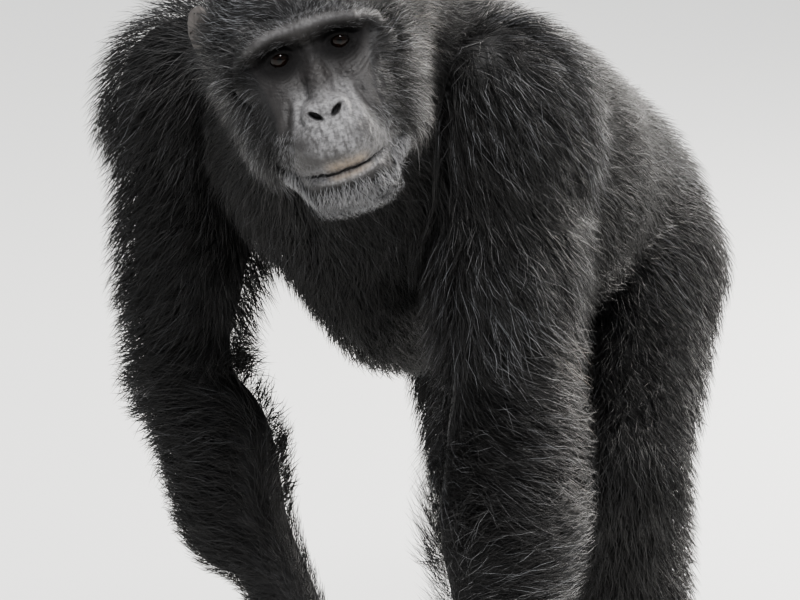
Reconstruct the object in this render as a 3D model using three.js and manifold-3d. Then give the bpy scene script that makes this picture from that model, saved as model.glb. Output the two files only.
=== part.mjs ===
// A life-size adult male chimpanzee walking on its knuckles, its head turned to its left and tipped.
// Millimetres, +Z up. The animal faces -Y and its left side is +X.
import * as THREE from "three";
import { mergeVertices } from "three/addons/utils/BufferGeometryUtils.js";
import Module from "manifold-3d";

const wasm = await Module();
wasm.setup();

const point = (x, y, z) => new THREE.Vector3(x, y, z);
const clamp = (x, low, high) => Math.min(high, Math.max(low, x));
const rad = THREE.MathUtils.degToRad;
function smooth(x, low, high) {
  const t = clamp((x - low) / (high - low), 0, 1);
  return t * t * (3 - 2 * t);
}

// The clear gap between two touching pieces
const gap = 0.3;
// How far the coat stands off the skin, to its tips, and how much of that is a solid core
const coatDepth = { torso: 24, belly: 16, arm: 25, leg: 21, head: 15 };
const coreShare = 0.5;

// Joints of the skeleton. The left arm stands upright, the right one slants in to the middle,
// the left leg is under the belly and the right leg is behind.
const limbs = {
  left: {
    out: 1,
    shoulder: point(142, -185, 686),
    elbow: point(137, -180, 394),
    wrist: point(134, -224, 142),
    elbowGirth: 43,
    foreGirth: 1.14,
    coatFade: [90, 190],
    handTurn: rad(-6),
    hip: point(80, 300, 462),
    knee: point(146, 95, 300),
    ankle: point(132, 190, 80),
    footTurn: rad(12),
    heelLift: 0,
  },
  right: {
    out: -1,
    shoulder: point(-152, -185, 686),
    elbow: point(-163, -172, 415),
    wrist: point(-14, -206, 142),
    elbowGirth: 34,
    foreGirth: 0.96,
    coatFade: [170, 480],
    handTurn: rad(8),
    hip: point(-70, 302, 462),
    knee: point(-28, 270, 205),
    ankle: point(-44, 484, 100),
    footTurn: rad(6),
    heelLift: rad(15),
  },
};

// The head looks along a line that is turned to the animal's left, and its crown tips to the right
const head = {
  eyes: point(51, -420, 760),
  lookTurn: rad(20.5),
  lookRise: rad(0.5),
  roll: rad(18.4),
};

// Distance to a limb that tapers from one ball to another
function taper(from, to, fromRadius, toRadius) {
  const run = to.clone().sub(from);
  const length2 = run.lengthSq();
  return (p) => {
    const x = p.x - from.x;
    const y = p.y - from.y;
    const z = p.z - from.z;
    const t = clamp((x * run.x + y * run.y + z * run.z) / length2, 0, 1);
    const off = Math.hypot(x - t * run.x, y - t * run.y, z - t * run.z);
    return off - fromRadius - t * (toRadius - fromRadius);
  };
}

// Distance to an egg with three radii. Its axes may be turned by a matrix.
function egg(centre, radii, axes = new THREE.Matrix4()) {
  const inverse = new THREE.Matrix3().setFromMatrix4(axes).transpose();
  const [rx, ry, rz] = radii;
  const q = new THREE.Vector3();
  return (p) => {
    q.copy(p).sub(centre).applyMatrix3(inverse);
    const near = Math.hypot(q.x / rx, q.y / ry, q.z / rz);
    const slope = Math.hypot(q.x / rx ** 2, q.y / ry ** 2, q.z / rz ** 2);
    return slope > 1e-9 ? (near * (near - 1)) / slope : -Math.min(rx, ry, rz);
  };
}

const pitched = (degrees) => new THREE.Matrix4().makeRotationX(rad(degrees));

// Soft union and soft cut of two distances, rounded over a width
function blend(a, b, width) {
  const h = Math.max(width - Math.abs(a - b), 0) / width;
  return Math.min(a, b) - (h * h * width) / 4;
}
const carve = (a, tool, width) => -blend(-a, tool, width);
function together(forms, width) {
  return (p) => forms.reduce((d, form) => blend(d, form(p), width), Infinity);
}
// A form that swells towards its neighbour, but no further than a limit
function reaching(own, neighbour, width, limit) {
  return (p) => {
    const d = own(p);
    return Math.max(blend(d, neighbour(p), width), d - limit);
  };
}

// Walks outward from inside a form until the surface is met
function reach(surface, origin, direction) {
  const p = new THREE.Vector3();
  const at = (t) => surface(p.copy(direction).multiplyScalar(t).add(origin));
  let inner = 0;
  let outer = 0;
  for (let i = 0; i < 120; i++) {
    const d = at(outer);
    if (d >= 0) break;
    inner = outer;
    outer += Math.max(-0.8 * d, 0.05);
  }
  for (let i = 0; i < 12; i++) {
    const middle = (inner + outer) / 2;
    if (at(middle) < 0) inner = middle;
    else outer = middle;
  }
  return p.copy(direction).multiplyScalar(inner).add(origin).clone();
}

// A closed mesh round a row of rings. Each ring has a centre, an axis and a side direction, and may
// lean along its axis to close an end. A flat end is closed at its ring's centre.
function wrap({ rings, sides, surface, startFlat = false, endFlat = false }) {
  const spots = [];
  const cap = (ring, sign, flat) => {
    if (flat) return ring.centre.clone();
    return reach(surface, ring.centre, ring.axis.clone().multiplyScalar(sign));
  };
  spots.push(cap(rings[0], -1, startFlat));
  for (const { centre, axis, side, lean = 0 } of rings) {
    const across = side.clone().addScaledVector(axis, -side.dot(axis)).normalize();
    const up = axis.clone().cross(across);
    for (let j = 0; j < sides; j++) {
      const turn = (2 * Math.PI * j) / sides;
      const direction = across
        .clone()
        .multiplyScalar(Math.cos(turn) * Math.cos(lean))
        .addScaledVector(up, Math.sin(turn) * Math.cos(lean))
        .addScaledVector(axis, Math.sin(lean));
      spots.push(reach(surface, centre, direction));
    }
  }
  spots.push(cap(rings[rings.length - 1], 1, endFlat));
  const faces = [];
  const last = spots.length - 1;
  const at = (row, j) => 1 + row * sides + (j % sides);
  for (let j = 0; j < sides; j++) {
    faces.push(0, at(0, j + 1), at(0, j));
    faces.push(last, at(rings.length - 1, j), at(rings.length - 1, j + 1));
    for (let row = 0; row + 1 < rings.length; row++) {
      faces.push(at(row, j), at(row, j + 1), at(row + 1, j + 1));
      faces.push(at(row, j), at(row + 1, j + 1), at(row + 1, j));
    }
  }
  return new THREE.BufferGeometry().setFromPoints(spots).setIndex(faces);
}

// Rings along one length of a limb. Its ends are domes, or flats that lean to meet the next length.
function lengthRings(from, to, options) {
  const { rows, side = point(1, 0, 0), startPlane, endPlane, dome = 3, inset = gap / 2 } = options;
  const axis = to.clone().sub(from).normalize();
  const first = startPlane || axis;
  const last = endPlane || axis;
  const start = startPlane ? from.clone().addScaledVector(first, inset) : from;
  const end = endPlane ? to.clone().addScaledVector(last, -inset) : to;
  const lean = (k) => (k * Math.PI) / (2 * (dome + 1)) + rad(6);
  const rings = [];
  if (!startPlane) {
    for (let k = dome; k > 0; k--) rings.push({ centre: start, axis, side, lean: -lean(k) });
  }
  for (let i = 0; i < rows; i++) {
    const share = i / (rows - 1);
    const turned = axis.clone().lerp(first, Math.max(0, 1 - 2 * share));
    turned.lerp(last, Math.max(0, 2 * share - 1));
    rings.push({ centre: start.clone().lerp(end, share), axis: turned.normalize(), side });
  }
  if (!endPlane) {
    for (let k = 1; k <= dome; k++) rings.push({ centre: end, axis, side, lean: lean(k) });
  }
  return rings;
}
function limbLength(from, to, sides, surface, options) {
  const rings = lengthRings(from, to, options);
  const { startPlane, endPlane } = options;
  return solid(wrap({ rings, sides, surface, startFlat: Boolean(startPlane), endFlat: Boolean(endPlane) }));
}
// The plane between two lengths that meet at a joint
function jointPlane(before, joint, after) {
  const into = joint.clone().sub(before).normalize();
  return after.clone().sub(joint).normalize().add(into).normalize();
}

// Between three.js geometry and solids that can be joined and cut
function solid(geometry, matrix = new THREE.Matrix4()) {
  const bare = new THREE.BufferGeometry();
  bare.setAttribute("position", geometry.getAttribute("position").clone());
  if (geometry.index) bare.setIndex(geometry.index);
  const joined = mergeVertices(bare.applyMatrix4(matrix), 1e-4);
  const mesh = new wasm.Mesh({
    numProp: 3,
    vertProperties: new Float32Array(joined.attributes.position.array),
    triVerts: new Uint32Array(joined.index.array),
  });
  return new wasm.Manifold(mesh);
}
function largest(shape) {
  const bodies = shape.decompose();
  return bodies.reduce((best, body) => (body.volume() > best.volume() ? body : best));
}
function geometryOf(shape) {
  const { vertProperties, numProp, numVert, triVerts } = shape.getMesh();
  const position = new Float32Array(numVert * 3);
  for (let i = 0; i < numVert; i++) {
    position.set(vertProperties.subarray(i * numProp, i * numProp + 3), i * 3);
  }
  const geometry = new THREE.BufferGeometry();
  geometry.setAttribute("position", new THREE.BufferAttribute(position, 3));
  geometry.setIndex(new THREE.BufferAttribute(triVerts, 1));
  geometry.computeVertexNormals();
  return geometry;
}
function block(low, high) {
  const size = high.clone().sub(low);
  const box = new THREE.BoxGeometry(size.x, size.y, size.z);
  return solid(box, new THREE.Matrix4().setPosition(low.clone().lerp(high, 0.5)));
}
const belowFloor = block(point(-600, -800, -200), point(600, 800, 0));

// The way in which a surface's distance grows at a point
function slopeOf(p, surface) {
  const here = surface(p);
  const growth = (x, y, z) => surface(p.clone().add(point(x, y, z))) - here;
  return point(growth(1, 0, 0), growth(0, 1, 0), growth(0, 0, 1)).normalize();
}
// Steps from a point to a chosen height over a surface
function settle(p, surface, height) {
  for (let i = 0; i < 3; i++) p.addScaledVector(slopeOf(p, surface), height - surface(p));
  return p;
}

// A flat lock of hair: a leaf that bends with the skin under it. It starts inside the core and
// rises to its tip, and each cross-section has two edges and a low ridge between them.
const tipStretch = 6;
const lockShares = [
  { along: 0, width: 0.6, rise: -0.25, thick: 0.5 },
  { along: 0.36, width: 1, rise: 0.3, thick: 0.5 },
  { along: 0.72, width: 0.66, rise: 0.7, thick: 0.32 },
];
function lockSolid({ root, along, length, width, skin, depth, grow }) {
  const up = slopeOf(root, skin);
  const forward = along.clone().addScaledVector(up, -along.dot(up)).normalize();
  const across = up.clone().cross(forward);
  const spots = [];
  for (const share of lockShares) {
    const ahead = share.along === 0 ? -grow : length * share.along;
    const middle = root.clone().addScaledVector(forward, ahead);
    const full = depth(middle);
    const height = full * (coreShare + (1 - coreShare) * share.rise);
    const half = (width * share.width) / 2 + 2 * grow;
    const thick = (full * share.thick) / 2;
    spots.push(settle(middle.clone().addScaledVector(across, half), skin, height - thick - grow));
    spots.push(settle(middle.clone(), skin, height + thick + grow));
    spots.push(settle(middle.clone().addScaledVector(across, -half), skin, height - thick - grow));
  }
  const tip = root.clone().addScaledVector(forward, length + tipStretch * grow);
  spots.push(settle(tip, skin, depth(tip)));
  const faces = [0, 2, 1];
  for (let section = 0; section < lockShares.length; section++) {
    for (let j = 0; j < 3; j++) {
      const a = section * 3 + j;
      const b = section * 3 + ((j + 1) % 3);
      if (section + 1 < lockShares.length) faces.push(a, b, b + 3, a, b + 3, a + 3);
      else faces.push(a, b, spots.length - 1);
    }
  }
  return { spots, shape: () => solid(new THREE.BufferGeometry().setFromPoints(spots).setIndex(faces)) };
}

// Rows of locks round a length of the body. Each station is a ring's centre, axis and side. A lock
// is shortened to end at the node's own planes, and left out where it would reach another limb.
const seeded = (seed) => {
  let state = seed;
  return () => {
    state = (state * 1664525 + 1013904223) % 4294967296;
    return state / 4294967296;
  };
};
const lockRules = {
  leastDepth: 10,
  straying: 0.25,
  spread: 0.97,
  clearance: 5,
  limbRoom: 3,
  leastShare: 0.4,
  narrowings: [1, 0.75, 0.55],
  grow: 1.5 * gap,
};
function rowsOfLocks(options) {
  const { stations, count, length, skin, depth, lie, avoid, planes = [], seed = 1 } = options;
  const random = seeded(seed);
  const locks = [];
  const least = options.leastDepth || lockRules.leastDepth;
  const crosses = (p) => planes.some(({ spot, out }) => p.clone().sub(spot).dot(out) > -gap);
  stations.forEach(({ centre, axis, side, lean = 0 }, row) => {
    const across = side.clone().addScaledVector(axis, -side.dot(axis)).normalize();
    const up = axis.clone().cross(across);
    for (let k = 0; k < count; k++) {
      const turn = (2 * Math.PI * (k + (row % 2) / 2 + (random() - 0.5) * lockRules.straying)) / count;
      const direction = across
        .clone()
        .multiplyScalar(Math.cos(turn) * Math.cos(lean))
        .addScaledVector(up, Math.sin(turn) * Math.cos(lean))
        .addScaledVector(axis, Math.sin(lean));
      const root = reach((p) => skin(p) - coreShare * depth(p), centre, direction);
      const share = 0.92 + 0.2 * random();
      if (depth(root) < least) continue;
      const along = lie(root).normalize();
      const around = 2 * Math.PI * root.distanceTo(centre) * Math.cos(lean);
      const width = (lockRules.spread * around) / count;
      let run = length * share;
      for (const { spot, out } of planes) {
        const speed = along.dot(out);
        const room = spot.clone().sub(root).dot(out) - lockRules.clearance;
        if (speed > 0) run = Math.min(run, room / speed);
      }
      if (run < length * lockRules.leastShare) continue;
      for (const narrowing of lockRules.narrowings) {
        const form = { root, along, length: run, width: width * narrowing, skin, depth };
        const lock = lockSolid({ ...form, grow: 0 });
        if (lock.spots.some((p) => crosses(p) || (avoid && avoid(p)))) continue;
        locks.push({ plain: lock.shape, grown: lockSolid({ ...form, grow: lockRules.grow }).shape });
        break;
      }
    }
  });
  return locks;
}
const withLocks = (shape, locks) => locks.reduce((all, lock) => all.add(lock.plain()), shape);
const withGrownLocks = (shape, locks) => locks.reduce((all, lock) => all.add(lock.grown()), shape);

// Materials
const paint = (color, roughness) => new THREE.MeshStandardMaterial({ color, roughness, metalness: 0 });
const materials = {
  coat: paint(0x1d1c1c, 0.85),
  face: paint(0x4a4644, 0.6),
  skin: paint(0x2b2827, 0.55),
  ear: paint(0x6a625f, 0.6),
  eye: paint(0x2a1a10, 0.15),
};

// Skin surfaces of the trunk
const trunkForms = [
  egg(point(0, -80, 613), [104, 210, 134], pitched(-13)),
  egg(point(0, -62, 560), [54, 180, 138], pitched(-10)),
  egg(point(0, -160, 648), [130, 110, 105], pitched(-16)),
  egg(point(76, -110, 694), [70, 125, 50], pitched(-16)),
  egg(point(-76, -110, 694), [70, 125, 50], pitched(-16)),
  egg(point(0, 100, 552), [143, 200, 144], pitched(-10)),
  egg(point(0, 262, 520), [126, 118, 106]),
  egg(point(72, 318, 472), [70, 70, 80]),
  egg(point(-72, 318, 472), [70, 70, 80]),
];

// The head's own frame: x to its right, y forward, z up, with the point between the eyes as origin
function headMatrix() {
  const { eyes, lookTurn, lookRise, roll } = head;
  const forward = point(
    Math.sin(lookTurn) * Math.cos(lookRise),
    -Math.cos(lookTurn) * Math.cos(lookRise),
    Math.sin(lookRise),
  );
  const level = point(-Math.cos(lookTurn), -Math.sin(lookTurn), 0);
  const rightward = level.applyAxisAngle(forward, roll);
  const up = rightward.clone().cross(forward);
  return new THREE.Matrix4().makeBasis(rightward, forward, up).setPosition(eyes);
}
const headPlace = headMatrix();
const headInverse = headPlace.clone().invert();
const inHead = (x, y, z) => point(x, y, z).applyMatrix4(headPlace);

// Sizes of the face, in the head's frame
const eye = {
  apart: 26.5,
  depth: -5.5,
  radius: 12.2,
  facets: [10, 8],
  lid: 2.2,
  slit: { ahead: 14, below: 0.5, halfSizes: [11.2, 14, 4.6] },
};
const mouth = { level: -97, halfWidth: 36, rise: 2.4 };
const nostril = { apart: 8.5, forward: 58, level: -45 };

// The brow ridge: a bar over both eyes that drops at its ends
const browSpots = [[-57, -10, 8], [-38, 10, 23], [0, 13, 21], [38, 10, 23], [57, -10, 8]];
const browPath = browSpots.map((spot) => point(...spot));
const browRadii = [8.5, 10, 9, 10, 8.5];
const browForm = together(
  browPath.slice(1).map((end, i) => taper(browPath[i], end, browRadii[i], browRadii[i + 1])),
  6,
);
function browBar() {
  const curve = new THREE.CatmullRomCurve3(browPath);
  const rings = [];
  const count = 9;
  for (let i = 0; i < count; i++) {
    const share = i / (count - 1);
    rings.push({ centre: curve.getPointAt(share), axis: curve.getTangentAt(share), side: point(0, 0, 1) });
  }
  rings.unshift({ ...rings[0], lean: rad(-40) });
  rings.push({ ...rings[rings.length - 1], lean: rad(40) });
  return solid(wrap({ rings, sides: 8, surface: browForm }));
}

function headForms() {
  const both = (make) => [make(1), make(-1)];
  const skull = [
    egg(point(0, -80, 26), [64, 84, 60]),
    ...both((s) => egg(point(44 * s, -52, -8), [27, 46, 48])),
    egg(point(0, -35, -72), [47, 62, 44]),
    ...both((s) => taper(point(48 * s, -48, -62), point(20 * s, 28, -108), 18, 17)),
    ...both((s) => taper(point(56 * s, -14, -14), point(32 * s, 8, -30), 14, 15)),
    egg(point(0, -14, -18), [46, 26, 34]),
    egg(point(0, 14, -66), [41, 46, 36]),
    ...both((s) => egg(point(34 * s, 0, -64), [24, 38, 32])),
  ];
  const muzzle = [
    egg(point(0, 40, -72), [38, 34, 27]),
    egg(point(0, 35, -106), [32, 31, 13]),
    egg(point(0, 24, -114), [28, 28, 15]),
  ];
  const nose = [
    taper(point(0, 8, -12), point(0, 46, -38), 9, 10),
    ...both((s) => egg(point(10 * s, 52, -43), [8, 9, 7])),
    egg(point(0, 56, -42), [5.5, 7, 7]),
  ];
  const sockets = both((s) => egg(point(28 * s, 17, -2), [17, 12.5, 11]));
  const main = together(skull, 22);
  const snout = together(muzzle, 8);
  const tip = together(nose, 6);
  return (p) => {
    let d = blend(main(p), snout(p), 14);
    d = blend(d, tip(p), 8);
    d = blend(d, browForm(p), 6);
    for (const socket of sockets) d = carve(d, socket(p), 6);
    return d;
  };
}
const headSkin = headForms();

// Depth of the coat on the head and neck: none on the bare oval of the face, which narrows downward
const bareFace = { halfWidth: 61, narrowing: 0.16, middle: -33, halfHeight: 76 };
function headCoat(p) {
  const { halfWidth, narrowing, middle, halfHeight } = bareFace;
  const across = p.x / (halfWidth + narrowing * Math.min(p.z, 0));
  const oval = (across ** 4 + ((p.z - middle) / halfHeight) ** 4) ** 0.25;
  const cover = Math.max(smooth(oval, 0.95, 1.4), smooth(-p.y, 20, 50));
  const behind = p.clone().sub(skullBase.spot).dot(skullBase.out);
  const depth = coatDepth.head + (coatDepth.torso - coatDepth.head) * smooth(behind, -40, 60);
  return depth * cover;
}
// Where the head ends and the neck starts
const skullBase = { spot: point(0, -135, -30), out: point(0, -0.97, -0.25).normalize() };

// Rings from the neck to the middle of the head, then leaning forward over the face
function headRings(grow = 0) {
  const middle = point(0, -48, -22);
  const faceAxis = point(0, 0.93, -0.37).normalize();
  const start = skullBase.spot.clone().addScaledVector(skullBase.out, grow - gap / 2);
  const backAxis = skullBase.out.clone().negate();
  const rings = [];
  const behind = 5;
  for (let i = 0; i < behind; i++) {
    const axis = backAxis.clone().lerp(faceAxis, i / behind).normalize();
    rings.push({ centre: start.clone().lerp(middle, i / behind), axis, side: point(1, 0, 0) });
  }
  const leans = [0, 10, 20, 29, 37, 44, 50, 56, 61, 66, 71, 76, 81, 85.5];
  const front = { centre: middle, axis: faceAxis, side: point(1, 0, 0) };
  for (const lean of leans) rings.push({ ...front, lean: rad(lean) });
  return rings;
}

function lidShell(s) {
  const centre = point(s * eye.apart, eye.depth, 0);
  const { ahead, below, halfSizes } = eye.slit;
  const moved = (spot) => new THREE.Matrix4().setPosition(spot);
  const ball = (radius) => solid(new THREE.SphereGeometry(radius, ...eye.facets), moved(centre));
  const slit = moved(centre.clone().add(point(0, ahead, -below))).scale(point(...halfSizes));
  const opening = solid(new THREE.SphereGeometry(1, 10, 6), slit);
  return { shell: ball(eye.radius + eye.lid).subtract(opening), ball: ball(eye.radius + gap) };
}

// The line of the mouth: a groove that follows the front of the muzzle
function mouthGroove(surface) {
  const spots = [];
  for (let x = -mouth.halfWidth; x <= mouth.halfWidth; x += mouth.halfWidth / 7) {
    const z = mouth.level + mouth.rise * (x / mouth.halfWidth) ** 2;
    spots.push(reach(surface, point(x, 0, z), point(0, 1, 0)));
  }
  const section = new THREE.Shape([
    new THREE.Vector2(-1.6, 0),
    new THREE.Vector2(0, -3.4),
    new THREE.Vector2(1.6, 0),
    new THREE.Vector2(0, 3.4),
  ]);
  const path = new THREE.CatmullRomCurve3(spots);
  return solid(new THREE.ExtrudeGeometry(section, { steps: 20, extrudePath: path, bevelEnabled: false }));
}

function headShape(grow = 0) {
  const surface = (p) => headAndNeck(p) - coreShare * headCoat(p) - grow;
  return wrap({ rings: headRings(grow), sides: 26, surface, startFlat: true });
}

// Ears: an upright bowl that opens outward and forward, with a fold across it
const ear = { out: 78, back: -90, up: 28, height: 30, width: 22, thick: 9, open: rad(38) };
function earPlan(s) {
  const outward = point(s * Math.cos(ear.open), Math.sin(ear.open), 0);
  const along = point(-s * Math.sin(ear.open), Math.cos(ear.open), 0);
  const axes = new THREE.Matrix4().makeBasis(along, point(0, 0, 1).cross(along), point(0, 0, 1));
  const centre = point(s * ear.out, ear.back, ear.up).addScaledVector(along, -ear.width * 0.6);
  return { outward, along, axes, centre };
}
function earBowl({ along }, centre, form) {
  const rings = [-58, -30, 0, 30, 58].map((degrees) => ({
    centre,
    axis: point(0, 0, 1),
    side: along,
    lean: rad(degrees),
  }));
  return solid(wrap({ rings, sides: 10, surface: form }));
}
function earShell(plan, grow = 0) {
  const { width, thick, height } = ear;
  return earBowl(plan, plan.centre, egg(plan.centre, [width + grow, thick + grow, height + grow], plan.axes));
}
function buildEar(s) {
  const plan = earPlan(s);
  const { outward, along, axes, centre } = plan;
  const hollowCentre = centre.clone().addScaledVector(outward, ear.thick * 0.75).addScaledVector(along, 3);
  const hollowSizes = [ear.width - 5, ear.thick, ear.height - 5.5];
  const hollow = earBowl(plan, hollowCentre, egg(hollowCentre, hollowSizes, axes));
  const foldFrom = centre.clone().addScaledVector(outward, 1).add(point(0, 0, -16));
  const foldTo = centre.clone().addScaledVector(outward, 1.5).addScaledVector(along, -6).add(point(0, 0, 17));
  const foldForm = taper(foldFrom, foldTo, 4, 3);
  const fold = limbLength(foldFrom, foldTo, 7, foldForm, { rows: 2, dome: 1, side: along });
  const skullInside = solid(headShape(gap));
  return largest(earShell(plan).subtract(hollow).add(fold).subtract(skullInside));
}

// The hair lies back over the crown and down the cheeks, and hangs at the chin
function headLie(p) {
  const low = smooth(-p.z, -20, 60);
  const back = p.y > 0 ? 0.1 : -0.9 + 0.7 * low;
  return point(0.25 * Math.sign(p.x), back, -0.3 - 0.7 * low);
}
function headLocks() {
  const middle = point(0, -48, -22);
  const station = (lean) => ({ centre: middle, axis: point(0, 0, 1), side: point(0, 1, 0), lean: rad(lean) });
  const shared = {
    length: 58,
    skin: headAndNeck,
    depth: headCoat,
    lie: headLie,
    planes: [{ spot: skullBase.spot, out: skullBase.out }],
    leastDepth: 7,
  };
  return [
    ...rowsOfLocks({ ...shared, stations: [station(62)], count: 5, seed: 11 }),
    ...rowsOfLocks({ ...shared, stations: [station(32), station(2)], count: 7, seed: 12 }),
    ...rowsOfLocks({ ...shared, stations: [station(-26), station(-50)], count: 7, seed: 13 }),
  ];
}

function buildHead(locks) {
  const ears = earShell(earPlan(1), 2 * gap).add(earShell(earPlan(-1), 2 * gap));
  const [first, ...others] = locks.map((lock) => lock.plain());
  const hair = others.reduce((all, lock) => all.add(lock), first).subtract(ears);
  let shape = solid(headShape()).add(hair).add(browBar());
  for (const s of [1, -1]) {
    const lids = lidShell(s);
    shape = shape.add(lids.shell).subtract(lids.ball);
    const hole = new THREE.SphereGeometry(1, 8, 6);
    const place = new THREE.Matrix4()
      .makeRotationY(s * rad(28))
      .scale(point(5.2, 8, 3.4))
      .setPosition(s * nostril.apart, nostril.forward, nostril.level);
    shape = shape.subtract(solid(hole, place));
  }
  return largest(shape.subtract(mouthGroove((p) => headSkin(p))));
}

// The neck, in the body's frame
const neckForms = [
  taper(point(0, -205, 668), inHead(0, -108, -30), 88, 60),
  taper(point(52, -165, 716), inHead(-34, -112, -8), 48, 38),
  taper(point(-52, -165, 716), inHead(34, -112, -8), 48, 38),
  taper(point(0, -235, 636), inHead(0, -82, -64), 62, 42),
];
const core = together([...trunkForms, ...neckForms], 38);
const headInBody = (p) => headSkin(p.clone().applyMatrix4(headInverse));
const coreAndHead = (p) => blend(core(p), headInBody(p), 24);
const neckAlone = together(neckForms, 38);
const headAndNeck = (p) => blend(headSkin(p), neckAlone(p.clone().applyMatrix4(headPlace)), 24);

// Arms and legs as forms
function armForms({ out, shoulder, elbow, wrist, elbowGirth, foreGirth }) {
  const at = (from, to, share, dx, dy) => from.clone().lerp(to, share).add(point(dx * out, dy, 0));
  const upper = [
    taper(shoulder, elbow, 48, elbowGirth),
    egg(at(shoulder, elbow, 0.1, 8, 0), [56, 62, 72]),
    egg(at(shoulder, elbow, 0.5, -2, 17), [42, 38, 95]),
    egg(at(shoulder, elbow, 0.55, 0, -16), [38, 32, 80]),
  ];
  const fore = [
    taper(elbow, wrist, elbowGirth, 25),
    egg(at(elbow, wrist, 0.3, 3, 0), [46 * foreGirth, 42 * foreGirth, 84]),
  ];
  return together([...upper, ...fore], 22);
}
function legForms({ out, hip, knee, ankle }) {
  const at = (from, to, share, dx, dy, dz) => from.clone().lerp(to, share).add(point(dx * out, dy, dz));
  return together(
    [
      taper(at(hip, knee, 0.05, 0, 0, 0), knee, 64, 44),
      taper(at(hip, knee, 0.1, 2, 20, -8), at(hip, knee, 0.7, 0, 14, -4), 58, 42),
      taper(knee, ankle, 40, 27),
      taper(at(knee, ankle, 0.18, 2, 14, 6), at(knee, ankle, 0.55, 0, 12, 4), 34, 28),
    ],
    22,
  );
}
function armCoat({ coatFade }) {
  return (p) => coatDepth.arm * smooth(p.z, ...coatFade) + 3 * smooth(p.z, 60, 110);
}
const legCoat = (p) => coatDepth.leg * smooth(p.z, 70, 190) + 2 * smooth(p.z, 30, 60);

// A hand resting on its knuckles: the back of the hand faces forward
const fingerLengths = [46, 50, 49, 42];
const fingerPitch = 21;
function handPlan({ out, wrist, handTurn }) {
  const place = (x, y, z) => point(x * out, y, z).applyAxisAngle(point(0, 0, 1), handTurn).add(wrist);
  const drop = -86;
  const palm = together(
    [
      taper(place(0, 0, 8), place(0, -4, -30), 24, 25),
      egg(place(13, -7, -54), [21, 15, 38]),
      egg(place(-13, -7, -54), [21, 15, 38]),
      taper(place(-28, -10, drop + 4), place(28, -8, drop + 2), 13, 12),
      egg(place(-26, 0, -38), [15, 15, 26]),
    ],
    16,
  );
  const fingers = fingerLengths.map((length, i) => {
    const x = (i - 1.5) * fingerPitch;
    const ahead = -10 - length * 0.8;
    const base = place(x, -10, drop);
    const knuckle = place(x, ahead, -wrist.z + 8.5);
    const turn = place(x, ahead + 34, -wrist.z + 7.6);
    const tip = place(x, ahead + 45, -wrist.z + 27);
    return { joints: [base, knuckle, turn, tip], radii: [9.8, 10, 9, 8] };
  });
  const thumbJoints = [place(-36, 4, -44), place(-46, 0, -74), place(-47, 2, -98)];
  const thumb = { joints: thumbJoints, radii: [13, 10.5, 8] };
  return { palm, fingers, thumb, knuckles: place(0, -9, drop) };
}

// A foot on the ground, the big toe set apart on its inner side. A lifted heel turns it about the
// ball of the foot, and the toes stay flat.
const footSizes = { ball: 96, ankleHeight: 78 };
function footPlan({ out, ankle, footTurn, heelLift }) {
  const { ball, ankleHeight } = footSizes;
  const turnUp = (ahead, height) => {
    if (ahead >= ball) return [ahead, height];
    const back = ball - ahead;
    return [
      ball - back * Math.cos(heelLift) + height * Math.sin(heelLift),
      back * Math.sin(heelLift) + height * Math.cos(heelLift),
    ];
  };
  const [ankleAhead] = turnUp(0, ankleHeight);
  const place = (inward, ahead, height) => {
    const [y, z] = turnUp(ahead, height);
    const spot = point(-inward * out, ankleAhead - y, z).applyAxisAngle(point(0, 0, 1), footTurn * out);
    return spot.add(point(ankle.x, ankle.y, 0));
  };
  const turned = new THREE.Matrix4()
    .makeRotationZ(footTurn * out)
    .multiply(new THREE.Matrix4().makeRotationX(heelLift));
  const level = new THREE.Matrix4().makeRotationZ(footTurn * out);
  const sole = together(
    [
      egg(place(0, -34, 32), [30, 36, 33], turned),
      egg(place(0, 34, 28), [34, 88, 29], turned),
      egg(place(4, 95, 17), [43, 38, 17], level),
      egg(place(22, 50, 20), [22, 40, 20], turned),
    ],
    18,
  );
  const toes = [0, 1, 2, 3].map((i) => {
    const inward = 30 - i * 20;
    const ahead = 122 - i * i * 2.2 - i * 3;
    const joints = [place(inward, ahead, 11), place(inward, ahead + 26, 12), place(inward, ahead + 46, 8.2)];
    return { joints, radii: [9.8, 9.7, 8.4] };
  });
  const bigToeJoints = [place(34, 62, 17), place(57, 86, 16), place(70, 116, 12)];
  const bigToe = { joints: bigToeJoints, radii: [17, 14, 12.5] };
  const instep = place(0, 8, 34);
  return { sole, toes, bigToe, instep, heel: place(0, -30, 26), front: place(4, 96, 16) };
}

// A finger or toe, stood on the floor. It is one length as far as each sharp bend.
const sharpBend = 0.2;
function digit({ joints, radii }, grow = 0) {
  const last = joints.length - 1;
  const heading = (i) => joints[i + 1].clone().sub(joints[i]).normalize();
  const runs = [[0]];
  for (let i = 1; i <= last; i++) {
    runs[runs.length - 1].push(i);
    if (i < last && heading(i - 1).dot(heading(i)) < sharpBend) runs.push([i]);
  }
  const lengths = runs.map((run) => {
    const grown = radii.map((radius) => radius + grow);
    const tapers = run.slice(1).map((i) => taper(joints[i - 1], joints[i], grown[i - 1], grown[i]));
    const rings = run.map((i, k) => {
      const before = heading(Math.max(i - 1, run[0]));
      const after = heading(k + 1 < run.length ? i : i - 1);
      return { centre: joints[i], axis: before.add(after).normalize(), side: point(1, 0, 0) };
    });
    rings.push({ ...rings[rings.length - 1], lean: rad(50) });
    return solid(wrap({ rings, sides: 6, surface: together(tapers, 1), startFlat: true }));
  });
  return lengths.reduce((all, next) => all.add(next)).subtract(belowFloor);
}

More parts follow.
